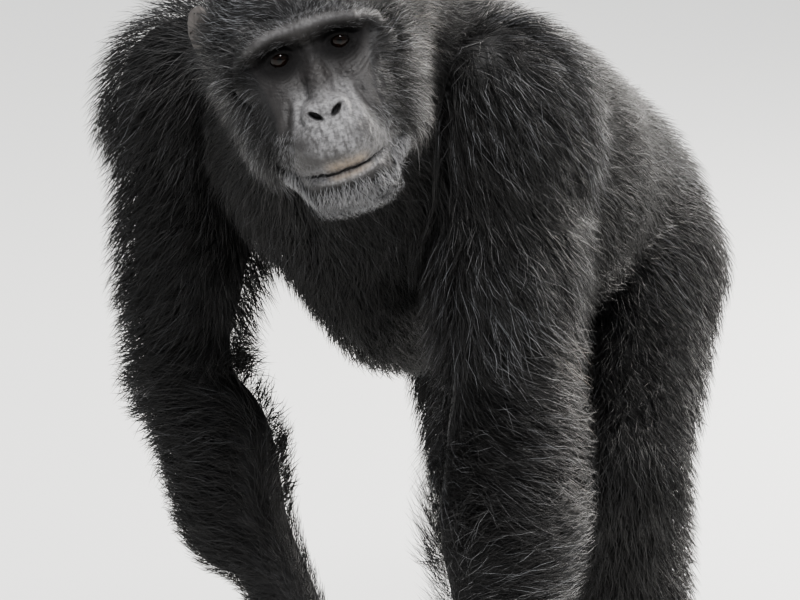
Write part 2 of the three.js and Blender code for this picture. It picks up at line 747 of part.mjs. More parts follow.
// The trunk's rings, from the base of the skull back to the rump
const spineStops = [
  {
    centre: skullBase.spot.clone().applyMatrix4(headPlace),
    axis: skullBase.out.clone().transformDirection(headPlace),
  },
  { centre: point(0, -214, 690), axis: point(0, 0.8, -0.6), rows: 3 },
  { centre: point(0, -165, 640), axis: point(0, 0.86, -0.5), rows: 2 },
  { centre: point(0, -85, 592), axis: point(0, 0.95, -0.3), rows: 3 },
  { centre: point(0, 30, 556), axis: point(0, 0.97, -0.22), rows: 4 },
  { centre: point(0, 190, 520), axis: point(0, 1, -0.05), rows: 5 },
  { centre: point(0, 280, 495), axis: point(0, 1, -0.1), rows: 3 },
];
const torsoParts = { neck: [0, 1], chest: [1, 4], belly: [4, 5], pelvis: [5, 6] };

function torsoRings(name, grow) {
  const [from, to] = torsoParts[name];
  const rings = [];
  for (let stop = from; stop < to; stop++) {
    const a = spineStops[stop];
    const b = spineStops[stop + 1];
    for (let i = stop === from ? 0 : 1; i <= b.rows; i++) {
      const centre = a.centre.clone().lerp(b.centre, i / b.rows);
      const axis = a.axis.clone().lerp(b.axis, i / b.rows).normalize();
      rings.push({ centre, axis, side: point(1, 0, 0) });
    }
  }
  rings[0].centre.addScaledVector(rings[0].axis, gap / 2 - grow);
  const end = rings[rings.length - 1];
  if (name === "pelvis") {
    for (const lean of [22, 42, 58, 72]) rings.push({ ...end, lean: rad(lean) });
  } else {
    end.centre.addScaledVector(end.axis, grow - gap / 2);
  }
  return rings;
}
// The coat is thinner under the belly
function trunkCoat(p) {
  return coatDepth.belly + (coatDepth.torso - coatDepth.belly) * smooth(p.z, 500, 600);
}
function torsoCoat(name) {
  return name === "neck" ? (p) => headCoat(p.clone().applyMatrix4(headInverse)) : trunkCoat;
}
function torsoPiece(name, grow = 0) {
  const coat = torsoCoat(name);
  const surface = (p) => coreAndHead(p) - coreShare * coat(p) - grow;
  const sides = 20;
  const rings = torsoRings(name, grow);
  return solid(wrap({ rings, sides, surface, startFlat: true, endFlat: name !== "pelvis" }));
}

// On the trunk the hair lies backward, and downward on the flanks
const trunkLie = (p) => point(0.1 * Math.sign(p.x), 0.85, -0.3 - 0.5 * clamp(Math.abs(p.x) / 150, 0, 1));
const torsoRows = {
  neck: { shares: [0.1, 0.5], count: 6, length: 95 },
  chest: { shares: [0.05, 0.33, 0.6], count: 7, length: 125 },
  belly: { shares: [0.08, 0.5], count: 7, length: 110 },
  pelvis: { shares: [0.1, 0.5, 0.95], count: 7, length: 110 },
};
function torsoLocks(name, limbForms) {
  const rings = torsoRings(name, 0).filter((ring) => !ring.lean);
  const { shares, count, length } = torsoRows[name];
  const stations = shares.map((share) => {
    const place = share * (rings.length - 1);
    const i = Math.min(Math.floor(place), rings.length - 2);
    const centre = rings[i].centre.clone().lerp(rings[i + 1].centre, place - i);
    const axis = rings[i].axis.clone().lerp(rings[i + 1].axis, place - i).normalize();
    return { centre, axis, side: rings[i].side };
  });
  const first = rings[0];
  const last = rings[rings.length - 1];
  const planes = [{ spot: first.centre, out: first.axis.clone().negate() }];
  if (name !== "pelvis") planes.push({ spot: last.centre, out: last.axis });
  const avoid = (p) => limbForms.some(({ form, coat }) => form(p) - coreShare * coat(p) < lockRules.limbRoom);
  const seed = 21 + shares.length + count;
  const on = { skin: coreAndHead, depth: torsoCoat(name), lie: trunkLie, planes };
  return rowsOfLocks({ ...on, stations, count, length, avoid, seed });
}

const group = new THREE.Group();
const body = new THREE.Group();
group.add(body);
const headGroup = new THREE.Group();
headPlace.decompose(headGroup.position, headGroup.quaternion, headGroup.scale);
body.add(headGroup);

function place(name, shape, material, parent = body) {
  const mesh = new THREE.Mesh(geometryOf(largest(shape)), material);
  mesh.name = name;
  parent.add(mesh);
}

// An arm from the shoulder to the knuckles, as one form with the planes that part it
function armPlan(limb) {
  const hand = handPlan(limb);
  const form = together([armForms(limb), hand.palm], 14);
  const { shoulder, elbow, wrist } = limb;
  const elbowPlane = jointPlane(shoulder, elbow, wrist);
  const wristPlane = jointPlane(elbow, wrist, hand.knuckles);
  return { hand, form, swollen: reaching(form, core, 50, 12), coat: armCoat(limb), elbowPlane, wristPlane };
}
function legPlan(limb) {
  const foot = footPlan(limb);
  const { hip, knee, ankle } = limb;
  const form = together([legForms(limb), taper(ankle, foot.instep, 27, 36)], 10);
  const kneePlane = jointPlane(hip, knee, ankle);
  const anklePlane = jointPlane(knee, ankle, foot.instep);
  return { foot, form, swollen: reaching(form, core, 50, 12), coat: legCoat, kneePlane, anklePlane };
}
const armPlans = { left: armPlan(limbs.left), right: armPlan(limbs.right) };
const legPlans = { left: legPlan(limbs.left), right: legPlan(limbs.right) };

// Locks along a limb. Its hair lies along a fixed direction.
function limbLocks({ from, to, shares, leans = [], count, length, skin, coat, lie, planes, avoid, seed }) {
  const axis = to.clone().sub(from).normalize();
  const stations = shares.map((share, i) => ({
    centre: from.clone().lerp(to, share),
    axis,
    side: point(1, 0, 0),
    lean: leans[i] || 0,
  }));
  const on = { skin, depth: coat, lie: () => lie.clone(), planes };
  return rowsOfLocks({ ...on, stations, count, length, avoid, seed });
}

place("head", buildHead(headLocks()), materials.face, headGroup);
for (const [name, s] of [["left", -1], ["right", 1]]) {
  place(`ear_${name}`, buildEar(s), materials.ear, headGroup);
  const ball = new THREE.SphereGeometry(eye.radius, ...eye.facets);
  const centre = new THREE.Matrix4().setPosition(s * eye.apart, eye.depth, 0);
  place(`eye_${name}`, solid(ball, centre), materials.eye, headGroup);
}

const limbPlans = [...Object.values(armPlans), ...Object.values(legPlans)];
const limbForms = limbPlans.map(({ swollen, coat }) => ({ form: swollen, coat }));
const torsoGrown = Object.keys(torsoParts).map((name) => {
  const locks = torsoLocks(name, limbForms);
  place(name, withLocks(torsoPiece(name), locks), materials.coat);
  return withGrownLocks(torsoPiece(name, gap), locks);
});
const clearOf = (shape, others) => others.reduce((left, other) => left.subtract(other), shape);

// A limb's locks keep off the trunk's own coat
const nearTrunk = (p) => core(p) < coatDepth.torso + 2;

function placeArm(name, limb) {
  const { shoulder, elbow, wrist, out } = limb;
  const { hand, form, swollen, coat, elbowPlane, wristPlane } = armPlans[name];
  const surface = (skin, grow = 0) => (p) => skin(p) - coreShare * coat(p) - grow;
  const up = { spot: elbow, out: elbowPlane.clone().negate() };
  const down = { spot: elbow, out: elbowPlane };
  const shared = { coat, avoid: nearTrunk };
  const upperLocks = limbLocks({
    ...shared,
    from: shoulder,
    to: elbow,
    shares: [0, 0.26, 0.64],
    leans: [rad(-42)],
    count: 5,
    length: 120,
    skin: swollen,
    lie: point(0.25 * out, 0.12, -1),
    planes: [down],
    seed: 31,
  });
  const upper = limbLength(shoulder, elbow, 12, surface(swollen), { rows: 6, endPlane: elbowPlane });
  place(`upper_arm_${name}`, clearOf(withLocks(upper, upperLocks), torsoGrown), materials.coat);
  const foreLocks = limbLocks({
    ...shared,
    from: wrist,
    to: elbow,
    shares: [0.12, 0.4, 0.68],
    count: 4,
    length: 100,
    skin: form,
    lie: elbow.clone().sub(wrist).normalize().add(point(0.2 * out, 0.15, 0)),
    planes: [up, { spot: wrist, out: wristPlane }],
    seed: 32,
  });
  const foreOptions = { rows: 7, startPlane: elbowPlane, endPlane: wristPlane };
  const forearm = limbLength(elbow, wrist, 12, surface(form), foreOptions);
  place(`forearm_${name}`, clearOf(withLocks(forearm, foreLocks), torsoGrown), materials.coat);

  const palm = (grow) => {
    const options = { rows: 5, startPlane: wristPlane, dome: 2, inset: gap / 2 - grow };
    return limbLength(wrist, hand.knuckles, 16, surface(form, grow), options);
  };
  place(`hand_${name}`, palm(0), materials.skin);
  let taken = palm(gap);
  ["index", "middle", "ring", "little"].forEach((finger, i) => {
    place(`${finger}_finger_${name}`, digit(hand.fingers[i]).subtract(taken), materials.skin);
    taken = taken.add(digit(hand.fingers[i], gap));
  });
  place(`thumb_${name}`, digit(hand.thumb).subtract(taken), materials.skin);
}

const thighsGrown = [];
function placeLeg(name, limb) {
  const { hip, knee, ankle, out } = limb;
  const { foot, form, swollen, coat, kneePlane, anklePlane } = legPlans[name];
  const surface = (skin, grow = 0) => (p) => skin(p) - coreShare * coat(p) - grow;
  const otherThigh = legPlans[name === "left" ? "right" : "left"].swollen;
  const nearOthers = (p) => nearTrunk(p) || otherThigh(p) < coatDepth.leg + 2;
  const thighLocks = limbLocks({
    from: hip,
    to: knee,
    shares: [0.16, 0.44, 0.7],
    count: 5,
    length: 100,
    skin: swollen,
    coat,
    lie: knee.clone().sub(hip).normalize().add(point(0.1 * out, 0.3, -0.5)),
    planes: [{ spot: knee, out: kneePlane }],
    avoid: nearOthers,
    seed: 41,
  });
  const thigh = (grow) => {
    const options = { rows: 5, endPlane: kneePlane, inset: gap / 2 - grow };
    return limbLength(hip, knee, 12, surface(swollen, grow), options);
  };
  const others = [...torsoGrown, ...thighsGrown];
  place(`thigh_${name}`, clearOf(withLocks(thigh(0), thighLocks), others), materials.coat);
  thighsGrown.push(withGrownLocks(thigh(gap), thighLocks));
  const shinLocks = limbLocks({
    from: knee,
    to: ankle,
    shares: [0.08, 0.4],
    count: 4,
    length: 90,
    skin: form,
    coat,
    lie: ankle.clone().sub(knee).normalize().add(point(0, 0.1, 0)),
    planes: [{ spot: knee, out: kneePlane.clone().negate() }, { spot: ankle, out: anklePlane }],
    avoid: nearTrunk,
    seed: 42,
  });
  const shinEnds = { startPlane: kneePlane, endPlane: anklePlane };
  const shin = limbLength(knee, ankle, 12, surface(form), { rows: 5, ...shinEnds });
  place(`shin_${name}`, clearOf(withLocks(shin, shinLocks), torsoGrown), materials.coat);

  const footShape = (grow) => {
    const sole = limbLength(foot.heel, foot.front, 12, surface(foot.sole, grow), { rows: 5, dome: 2 });
    const options = { rows: 3, dome: 1, startPlane: anklePlane, inset: gap / 2 - grow };
    return sole.add(limbLength(ankle, foot.instep, 12, surface(form, grow), options));
  };
  place(`foot_${name}`, footShape(0).subtract(belowFloor), materials.skin);
  let taken = footShape(gap);
  ["second", "third", "fourth", "fifth"].forEach((toe, i) => {
    place(`${toe}_toe_${name}`, digit(foot.toes[i]).subtract(taken), materials.skin);
    taken = taken.add(digit(foot.toes[i], gap));
  });
  place(`big_toe_${name}`, digit(foot.bigToe).subtract(taken), materials.skin);
}

for (const [name, limb] of Object.entries(limbs)) {
  placeArm(name, limb);
  placeLeg(name, limb);
}

// The origin is under the middle of the whole animal, on the floor
group.updateMatrixWorld(true);
const whole = new THREE.Box3().setFromObject(group, true);
body.position.set(-(whole.min.x + whole.max.x) / 2, -(whole.min.y + whole.max.y) / 2, -whole.min.z);

export default group;
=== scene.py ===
import math

import bmesh
import bpy
import numpy as np
from mathutils import Matrix, Vector
from mathutils.kdtree import KDTree


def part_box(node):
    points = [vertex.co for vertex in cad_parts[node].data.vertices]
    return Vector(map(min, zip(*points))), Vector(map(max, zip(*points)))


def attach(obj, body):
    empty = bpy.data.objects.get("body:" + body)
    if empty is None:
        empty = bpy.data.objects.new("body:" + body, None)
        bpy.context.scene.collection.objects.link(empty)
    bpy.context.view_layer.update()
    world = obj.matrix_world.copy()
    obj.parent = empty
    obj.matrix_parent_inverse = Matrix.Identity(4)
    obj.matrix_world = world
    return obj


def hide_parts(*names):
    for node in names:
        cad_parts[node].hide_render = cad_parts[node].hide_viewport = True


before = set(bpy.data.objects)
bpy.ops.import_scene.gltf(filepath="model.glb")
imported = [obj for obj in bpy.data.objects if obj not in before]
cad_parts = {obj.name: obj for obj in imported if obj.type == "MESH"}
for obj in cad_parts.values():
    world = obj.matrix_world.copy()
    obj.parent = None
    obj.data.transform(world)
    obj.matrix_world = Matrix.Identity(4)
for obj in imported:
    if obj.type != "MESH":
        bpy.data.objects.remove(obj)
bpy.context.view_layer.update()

mm = 0.001  # shapes are worked out in millimetres, meshes are in metres

limbs = {
    "left": {
        "out": 1, "shoulder": (142, -185, 686), "elbow": (137, -180, 394), "wrist": (134, -224, 142),
        "elbowGirth": 43, "foreGirth": 1.14, "coatFade": (90, 190), "handTurn": -6,
        "hip": (80, 300, 462), "knee": (146, 95, 300), "ankle": (132, 190, 80),
        "footTurn": 12, "heelLift": 0,
    },
    "right": {
        "out": -1, "shoulder": (-152, -185, 686), "elbow": (-163, -172, 415), "wrist": (-14, -206, 142),
        "elbowGirth": 34, "foreGirth": 0.96, "coatFade": (170, 480), "handTurn": 8,
        "hip": (-70, 302, 462), "knee": (-28, 270, 205), "ankle": (-44, 484, 100),
        "footTurn": 6, "heelLift": 15,
    },
}
head = {"eyes": (51, -420, 760), "lookTurn": 20.5, "lookRise": 0.5, "roll": 18.4}
eye = {
    "apart": 26.5, "depth": -5.5, "radius": 12.2, "lid": 1.6,
    "opening": {"halfWidth": 11.4, "above": 6.2, "below": 7.4, "tilt": 6},
}


def vec(*xyz):
    return np.array(xyz, float)


def unit(v):
    v = np.asarray(v, float)
    return v / np.maximum(np.linalg.norm(v, axis=-1, keepdims=True), 1e-9)


def smooth(x, low, high):
    t = np.clip((x - low) / (high - low), 0, 1)
    return t * t * (3 - 2 * t)


def fade(x, low, high):
    return 1 - smooth(x, low, high)


def bell(d, width):
    return np.exp(-((d / width) ** 2))


def columns(x, y, z):
    return np.stack(np.broadcast_arrays(x, y, z), axis=1)


def turnMatrix(axis, degrees):
    return np.array(Matrix.Rotation(math.radians(degrees), 3, axis))


# The head's frame: x to its right, y forward, z up, from the point between the eyes
def headAxes():
    turn, rise = math.radians(head["lookTurn"]), math.radians(head["lookRise"])
    forward = Vector((math.sin(turn) * math.cos(rise), -math.cos(turn) * math.cos(rise), math.sin(rise)))
    level = Vector((-math.cos(turn), -math.sin(turn), 0))
    rightward = Matrix.Rotation(math.radians(head["roll"]), 3, forward) @ level
    return np.array([rightward, forward, rightward.cross(forward)]).T


headTurn = headAxes()
eyesMiddle = vec(*head["eyes"])


def fromHead(p):
    return np.asarray(p, float) @ headTurn.T + eyesMiddle


def toHead(p):
    return (p - eyesMiddle) @ headTurn


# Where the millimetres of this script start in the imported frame, found from the two eyes
def frameShift():
    boxes = [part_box("eye_left"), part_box("eye_right")]
    middle = sum((low + high for low, high in boxes), Vector()) / 4
    return np.array(middle) - fromHead(vec(0, eye["depth"], 0)) * mm


shift = frameShift()


def toFrame(p):
    return np.asarray(p, float) * mm + shift


def fromFrame(p):
    return (np.asarray(p, float) - shift) / mm


# A form is a distance in millimetres, worked out only near its own box, with the plain shapes that fill it
class Form:
    far, margin = 99.0, 80

    def __init__(self, distance, fill, low, high):
        self.distance, self.fill = distance, fill
        self.low, self.high = np.asarray(low, float), np.asarray(high, float)

    def __call__(self, p):
        near = ((p > self.low - self.margin) & (p < self.high + self.margin)).all(axis=1)
        if near.all():
            return self.distance(p)
        d = np.full(len(p), self.far)
        if near.any():
            d[near] = self.distance(p[near])
        return d


def addBall(mesh, place, centre, radii, turn=None):
    turned = Matrix(turn.tolist()).to_4x4() if turn is not None else Matrix.Identity(4)
    stretched = Matrix.Translation(Vector(centre)) @ turned @ Matrix.Diagonal(Vector((*radii, 1)))
    bmesh.ops.create_icosphere(mesh, subdivisions=3, radius=1, matrix=place @ stretched)


def taper(start, end, startRadius, endRadius):
    start, end = vec(*start), vec(*end)
    run = end - start
    length = np.linalg.norm(run)

    def distance(p):
        q = p - start
        t = np.clip(q @ run / length**2, 0, 1)
        return np.linalg.norm(q - t[:, None] * run, axis=1) - startRadius - t * (endRadius - startRadius)

    def fill(mesh, place):
        for centre, radius in ((start, startRadius), (end, endRadius)):
            addBall(mesh, place, centre, (radius,) * 3)
        stand = Vector(run).to_track_quat("Z", "Y").to_matrix().to_4x4()
        middle = place @ Matrix.Translation(Vector((start + end) / 2)) @ stand
        bmesh.ops.create_cone(
            mesh, cap_ends=True, segments=24, radius1=startRadius, radius2=endRadius,
            depth=length, matrix=middle,
        )

    reach = max(startRadius, endRadius)
    return Form(distance, fill, np.minimum(start, end) - reach, np.maximum(start, end) + reach)


def egg(centre, radii, turn=None):
    centre, radii = vec(*centre), vec(*radii)
    axes = np.eye(3) if turn is None else turn

    def distance(p):
        q = (p - centre) @ axes
        near = np.linalg.norm(q / radii, axis=1)
        slope = np.linalg.norm(q / radii**2, axis=1)
        return np.where(slope > 1e-9, near * (near - 1) / np.maximum(slope, 1e-9), -radii.min())

    def fill(mesh, place):
        addBall(mesh, place, centre, radii, axes)

    return Form(distance, fill, centre - radii.max(), centre + radii.max())


def blend(a, b, width):
    h = np.maximum(width - np.abs(a - b), 0) / width
    return np.minimum(a, b) - h * h * width / 4


def carve(a, tool, width):
    return -blend(-a, tool, width)


def boxOf(forms):
    return np.min([form.low for form in forms], axis=0), np.max([form.high for form in forms], axis=0)


def together(forms, width):
    def distance(p):
        d = forms[0](p)
        for form in forms[1:]:
            d = blend(d, form(p), width)
        return d

    def fill(mesh, place):
        for form in forms:
            form.fill(mesh, place)

    return Form(distance, fill, *boxOf(forms))


def chain(joints, radii, width):
    pairs = zip(joints, joints[1:], radii, radii[1:])
    return together([taper(a, b, ra, rb) for a, b, ra, rb in pairs], width)


def both(make):
    return [make(1), make(-1)]


def pitched(degrees):
    return turnMatrix("X", degrees)


# How widely the parts run into each other
joins = {
    "core": 38, "head": 24, "skull": 22, "muzzle": 14, "limb": 22, "hand": 14, "foot": 10, "digit": 3,
    "armpit": 50, "mostSwell": 12, "seam": 12,
}


# The trunk and neck
trunkForms = [
    egg((0, -80, 613), (104, 210, 134), pitched(-13)),
    egg((0, -62, 560), (54, 180, 138), pitched(-10)),
    egg((0, -160, 648), (130, 110, 105), pitched(-16)),
    *both(lambda s: egg((76 * s, -110, 694), (70, 125, 50), pitched(-16))),
    egg((0, 100, 552), (143, 200, 144), pitched(-10)),
    egg((0, 262, 520), (126, 118, 106)),
    *both(lambda s: egg((72 * s, 318, 472), (70, 70, 80))),
]
neckForms = [
    taper((0, -205, 668), fromHead((0, -108, -30)), 88, 60),
    *both(lambda s: taper((52 * s, -165, 716), fromHead((-34 * s, -112, -8)), 48, 38)),
    taper((0, -235, 636), fromHead((0, -82, -64)), 62, 42),
]
trunk = together(trunkForms, joins["core"])
neck = together(neckForms, joins["core"])
core = together([*trunkForms, *neckForms], joins["core"])


# The head, in its own frame
browPath = [(-57, -10, 8), (-38, 10, 23), (0, 13, 21), (38, 10, 23), (57, -10, 8)]
browRadii = [8.5, 10, 9, 10, 8.5]


def headForms():
    skull = together([
        egg((0, -80, 26), (64, 84, 60)),
        *both(lambda s: egg((44 * s, -52, -8), (27, 46, 48))),
        egg((0, -35, -72), (47, 62, 44)),
        *both(lambda s: taper((48 * s, -48, -62), (20 * s, 28, -108), 18, 17)),
        *both(lambda s: taper((56 * s, -14, -14), (32 * s, 8, -30), 14, 15)),
        egg((0, -14, -18), (46, 26, 34)),
        egg((0, 14, -66), (41, 46, 36)),
        *both(lambda s: egg((34 * s, 0, -64), (24, 38, 32))),
    ], joins["skull"])
    muzzle = together([
        egg((0, 40, -72), (38, 34, 27)),
        egg((0, 35, -106), (32, 31, 13)),
        egg((0, 24, -114), (28, 28, 15)),
    ], 8)
    nose = together([
        taper((0, 8, -12), (0, 46, -38), 9, 10),
        *both(lambda s: egg((10 * s, 52, -43), (8, 9, 7))),
        egg((0, 56, -42), (5.5, 7, 7)),
    ], 6)
    brow = chain(browPath, browRadii, 6)
    parts = (skull, muzzle, nose, brow)
    sockets = both(lambda s: egg((28 * s, 17, -2), (17, 12.5, 11)))
    lids = both(lambda s: egg((eye["apart"] * s, eye["depth"], 0), (eye["radius"] + eye["lid"],) * 3))

    def distance(p):
        d = blend(skull(p), muzzle(p), joins["muzzle"])
        d = blend(d, nose(p), 8)
        d = blend(d, brow(p), 6)
        for socket, lid in zip(sockets, lids):
            d = carve(d, socket(p), 6)
            d = blend(d, lid(p), 4)
        return d

    def fill(mesh, place):
        for part in parts:
            part.fill(mesh, place)

    return Form(distance, fill, *boxOf(parts))


headForm = headForms()


# Arms, hands, legs and feet
def lerp(a, b, share):
    return vec(*a) + (vec(*b) - vec(*a)) * share


def armForm(limb):
    out, shoulder, elbow, wrist = limb["out"], limb["shoulder"], limb["elbow"], limb["wrist"]
    girth, foreGirth = limb["elbowGirth"], limb["foreGirth"]

    def upper(share, dx, dy):
        return lerp(shoulder, elbow, share) + vec(dx * out, dy, 0)

    return together([
        taper(shoulder, elbow, 48, girth),
        egg(upper(0.1, 8, 0), (56, 62, 72)),
        egg(upper(0.5, -2, 17), (42, 38, 95)),
        egg(upper(0.55, 0, -16), (38, 32, 80)),
        taper(elbow, wrist, girth, 25),
        egg(lerp(elbow, wrist, 0.3) + vec(3 * out, 0, 0), (46 * foreGirth, 42 * foreGirth, 84)),
    ], joins["limb"])


def legForm(limb):
    out, hip, knee, ankle = limb["out"], limb["hip"], limb["knee"], limb["ankle"]

    def at(start, end, share, dx, dy, dz):
        return lerp(start, end, share) + vec(dx * out, dy, dz)

    return together([
        taper(at(hip, knee, 0.05, 0, 0, 0), knee, 64, 44),
        taper(at(hip, knee, 0.1, 2, 20, -8), at(hip, knee, 0.7, 0, 14, -4), 58, 42),
        taper(knee, ankle, 40, 27),
        taper(at(knee, ankle, 0.18, 2, 14, 6), at(knee, ankle, 0.55, 0, 12, 4), 34, 28),
    ], joins["limb"])


hand = {
    "drop": -86, "fingerLengths": (46, 50, 49, 42), "pitch": 21, "radii": (9.6, 9.9, 8.9, 7.8),
    "thumbRadii": (13, 10.5, 8),
}
foot = {
    "ball": 96, "ankleHeight": 78, "toePitch": 20, "toeRadii": (9.6, 9.6, 8.4), "bigToeRadii": (17, 14, 12.2),
}


def handPlan(limb):
    out, wrist = limb["out"], vec(*limb["wrist"])
    turn = turnMatrix("Z", limb["handTurn"])
    drop = hand["drop"]

    def place(x, y, z):
        return turn @ vec(x * out, y, z) + wrist

    palm = together([
        taper(place(0, 0, 8), place(0, -4, -30), 24, 25),
        egg(place(13, -7, -54), (21, 15, 38)),
        egg(place(-13, -7, -54), (21, 15, 38)),
        taper(place(-28, -10, drop + 4), place(28, -8, drop + 2), 13, 12),
        egg(place(-26, 0, -38), (15, 15, 26)),
    ], 16)
    fingers = []
    for i, length in enumerate(hand["fingerLengths"]):
        x = (i - 1.5) * hand["pitch"]
        ahead = -10 - length * 0.8
        joints = [
            place(x, -10, drop),
            place(x, ahead, -wrist[2] + 9.6),
            place(x, ahead + 34, -wrist[2] + 8.6),
            place(x, ahead + 45, -wrist[2] + 27),
        ]
        fingers.append((joints, hand["radii"]))
    thumb = ([place(-36, 4, -44), place(-46, 0, -74), place(-47, 2, -98)], hand["thumbRadii"])
    return {"palm": palm, "digits": [*fingers, thumb]}


def footPlan(limb):
    out, ankle, lift = limb["out"], limb["ankle"], math.radians(limb["heelLift"])
    ball = foot["ball"]
    level = turnMatrix("Z", limb["footTurn"] * out)
    turned = level @ turnMatrix("X", limb["heelLift"])

    def turnUp(ahead, height):
        if ahead >= ball:
            return ahead, height
        back = ball - ahead
        return (
            ball - back * math.cos(lift) + height * math.sin(lift),
            back * math.sin(lift) + height * math.cos(lift),
        )

    ankleAhead = turnUp(0, foot["ankleHeight"])[0]

    def place(inward, ahead, height):
        y, z = turnUp(ahead, height)
        return level @ vec(-inward * out, ankleAhead - y, z) + vec(ankle[0], ankle[1], 0)

    sole = together([
        egg(place(0, -34, 32), (30, 36, 33), turned),
        egg(place(0, 34, 28), (34, 88, 29), turned),
        egg(place(4, 95, 17), (43, 38, 17), level),
        egg(place(22, 50, 20), (22, 40, 20), turned),
        taper(ankle, place(0, 8, 34), 27, 36),
    ], 18)
    toes = []
    for i in range(4):
        inward, ahead = 30 - i * foot["toePitch"], 122 - i * i * 2.2 - i * 3
        joints = [place(inward, ahead, 11), place(inward, ahead + 26, 12), place(inward, ahead + 46, 8.6)]
        toes.append((joints, foot["toeRadii"]))
    bigToe = ([place(34, 62, 17), place(57, 86, 16), place(70, 116, 12.4)], foot["bigToeRadii"])
    return {"sole": sole, "digits": [*toes, bigToe]}


digitTop = 170  # no finger or toe reaches higher
handTop = 190  # nor does a palm or sole
arms = {side: armForm(limb) for side, limb in limbs.items()}
legs = {side: legForm(limb) for side, limb in limbs.items()}
hands = {side: handPlan(limb) for side, limb in limbs.items()}
feet = {side: footPlan(limb) for side, limb in limbs.items()}
digits = [
    chain(joints, radii, 4) for plan in (*hands.values(), *feet.values()) for joints, radii in plan["digits"]
]


# Distances to every part, and the whole skin as one distance that swells from limb to trunk
def partDistances(p):
    near = {"trunk": trunk(p), "neck": neck(p), "head": headForm(toHead(p))}
    for side in limbs:
        near[f"{side}Arm"] = arms[side](p)
        near[f"{side}Hand"] = hands[side]["palm"](p)
        near[f"{side}Leg"] = legs[side](p)
        near[f"{side}Foot"] = feet[side]["sole"](p)
    return near


def bodyDistance(p):
    near = partDistances(p)
    middle = blend(near["trunk"], near["neck"], joins["core"])
    d = blend(middle, near["head"], joins["head"])
    for side in limbs:
        arm = blend(near[f"{side}Arm"], near[f"{side}Hand"], joins["hand"])
        leg = blend(near[f"{side}Leg"], near[f"{side}Foot"], joins["foot"])
        for limb in (arm, leg):
            swollen = np.maximum(blend(limb, middle, joins["armpit"]), limb - joins["mostSwell"])
            d = blend(d, swollen, joins["seam"])
    return d


def wholeDistance(p):
    d = bodyDistance(p)
    low = p[:, 2] < digitTop
    if low.any():
        q, part = p[low], d[low]
        for digit in digits:
            part = blend(part, digit(q), joins["digit"])
        d[low] = part
    return np.maximum(d, -p[:, 2])


def slope(form, p, d=None, step=0.5):
    d = form(p) if d is None else d
    parts = [form(p + vec(*(step if i == k else 0 for k in range(3)))) - d for i in range(3)]
    return unit(np.stack(parts, axis=1))


def settle(form, p, height=0.0, turns=1, reach=8.0):
    for _ in range(turns):
        d = form(p)
        p = p + slope(form, p, d) * np.clip(height - d, -reach, reach)[:, None]
    return p


print("forms ready")


# Mesh helpers
def newObject(name, mesh):
    made = bpy.data.objects.new(name, mesh)
    bpy.context.scene.collection.objects.link(made)
    return made


def fromBmesh(name, shape):
    mesh = bpy.data.meshes.new(name)
    shape.to_mesh(mesh)
    shape.free()
    return newObject(name, mesh)


def getPoints(mesh):
    flat = np.empty(len(mesh.vertices) * 3, np.float32)
    mesh.vertices.foreach_get("co", flat)
    return flat.reshape(-1, 3).astype(float)


def setPoints(mesh, points):
    mesh.vertices.foreach_set("co", np.asarray(points, np.float32).ravel())
    mesh.update()


def getNormals(mesh):
    flat = np.empty(len(mesh.vertices) * 3, np.float32)
    mesh.vertex_normals.foreach_get("vector", flat)
    return flat.reshape(-1, 3).astype(float)


def addAttribute(mesh, name, values):
    layer = mesh.attributes.new(name, "FLOAT", "POINT")
    layer.data.foreach_set("value", np.asarray(values, np.float32))


def shadeSmooth(mesh):
    mesh.polygons.foreach_set("use_smooth", np.ones(len(mesh.polygons), bool))


def applyChange(piece, change):
    mesh = bpy.data.meshes.new_from_object(piece.evaluated_get(bpy.context.evaluated_depsgraph_get()))
    piece.modifiers.remove(change)
    old, piece.data = piece.data, mesh
    bpy.data.meshes.remove(old)


frameMatrix = Matrix.Translation(Vector(shift)) @ Matrix.Diagonal(Vector((mm, mm, mm, 1)))
headMatrix = frameMatrix @ Matrix.Translation(Vector(eyesMiddle)) @ Matrix(headTurn.tolist()).to_4x4()


def headFromFrame(p):
    return toHead(fromFrame(p))


def headToFrame(h):
    return toFrame(fromHead(h))


# Slow, seeded waves that vary a surface from place to place
def waves(p, scale, seed, count=5):
    draw = np.random.default_rng(seed)
    total = np.zeros(len(p))
    for _ in range(count):
        way = unit(draw.normal(size=3)) * (2 * math.pi / (scale * draw.uniform(0.7, 1.4)))
        total += np.sin(p @ way + draw.uniform(0, 2 * math.pi))
    return total / math.sqrt(count / 2)


# Where the coat grows, and how deep it stands
coat = {
    "trunk": 24, "belly": 16, "arm": 25, "hand": 7, "leg": 21, "foot": 5,
    "headSide": 25, "whiskers": 17, "headCrown": 19, "forehead": 9, "chin": 13, "chinSide": 8,
    "hairlineLevels": (-130, -116, -105, -87, -60, -42, -20, 0, 20, 40),
    "hairlineWidths": (10, 20, 43, 51, 46, 42, 46, 52, 53, 46),
    "browTop": 29, "browDrop": 0.0035, "chinLevel": 113,
}


def hairiness(h):
    x, y, z = np.abs(h[:, 0]), h[:, 1], h[:, 2]
    sides = smooth(x - np.interp(z, coat["hairlineLevels"], coat["hairlineWidths"]), -5, 9)
    above = smooth(z - coat["browTop"] + coat["browDrop"] * x**2, -3, 9)
    beneath = smooth(-z - coat["chinLevel"], -3, 6)
    return np.maximum.reduce([sides, above, beneath, smooth(-y, 22, 44)])


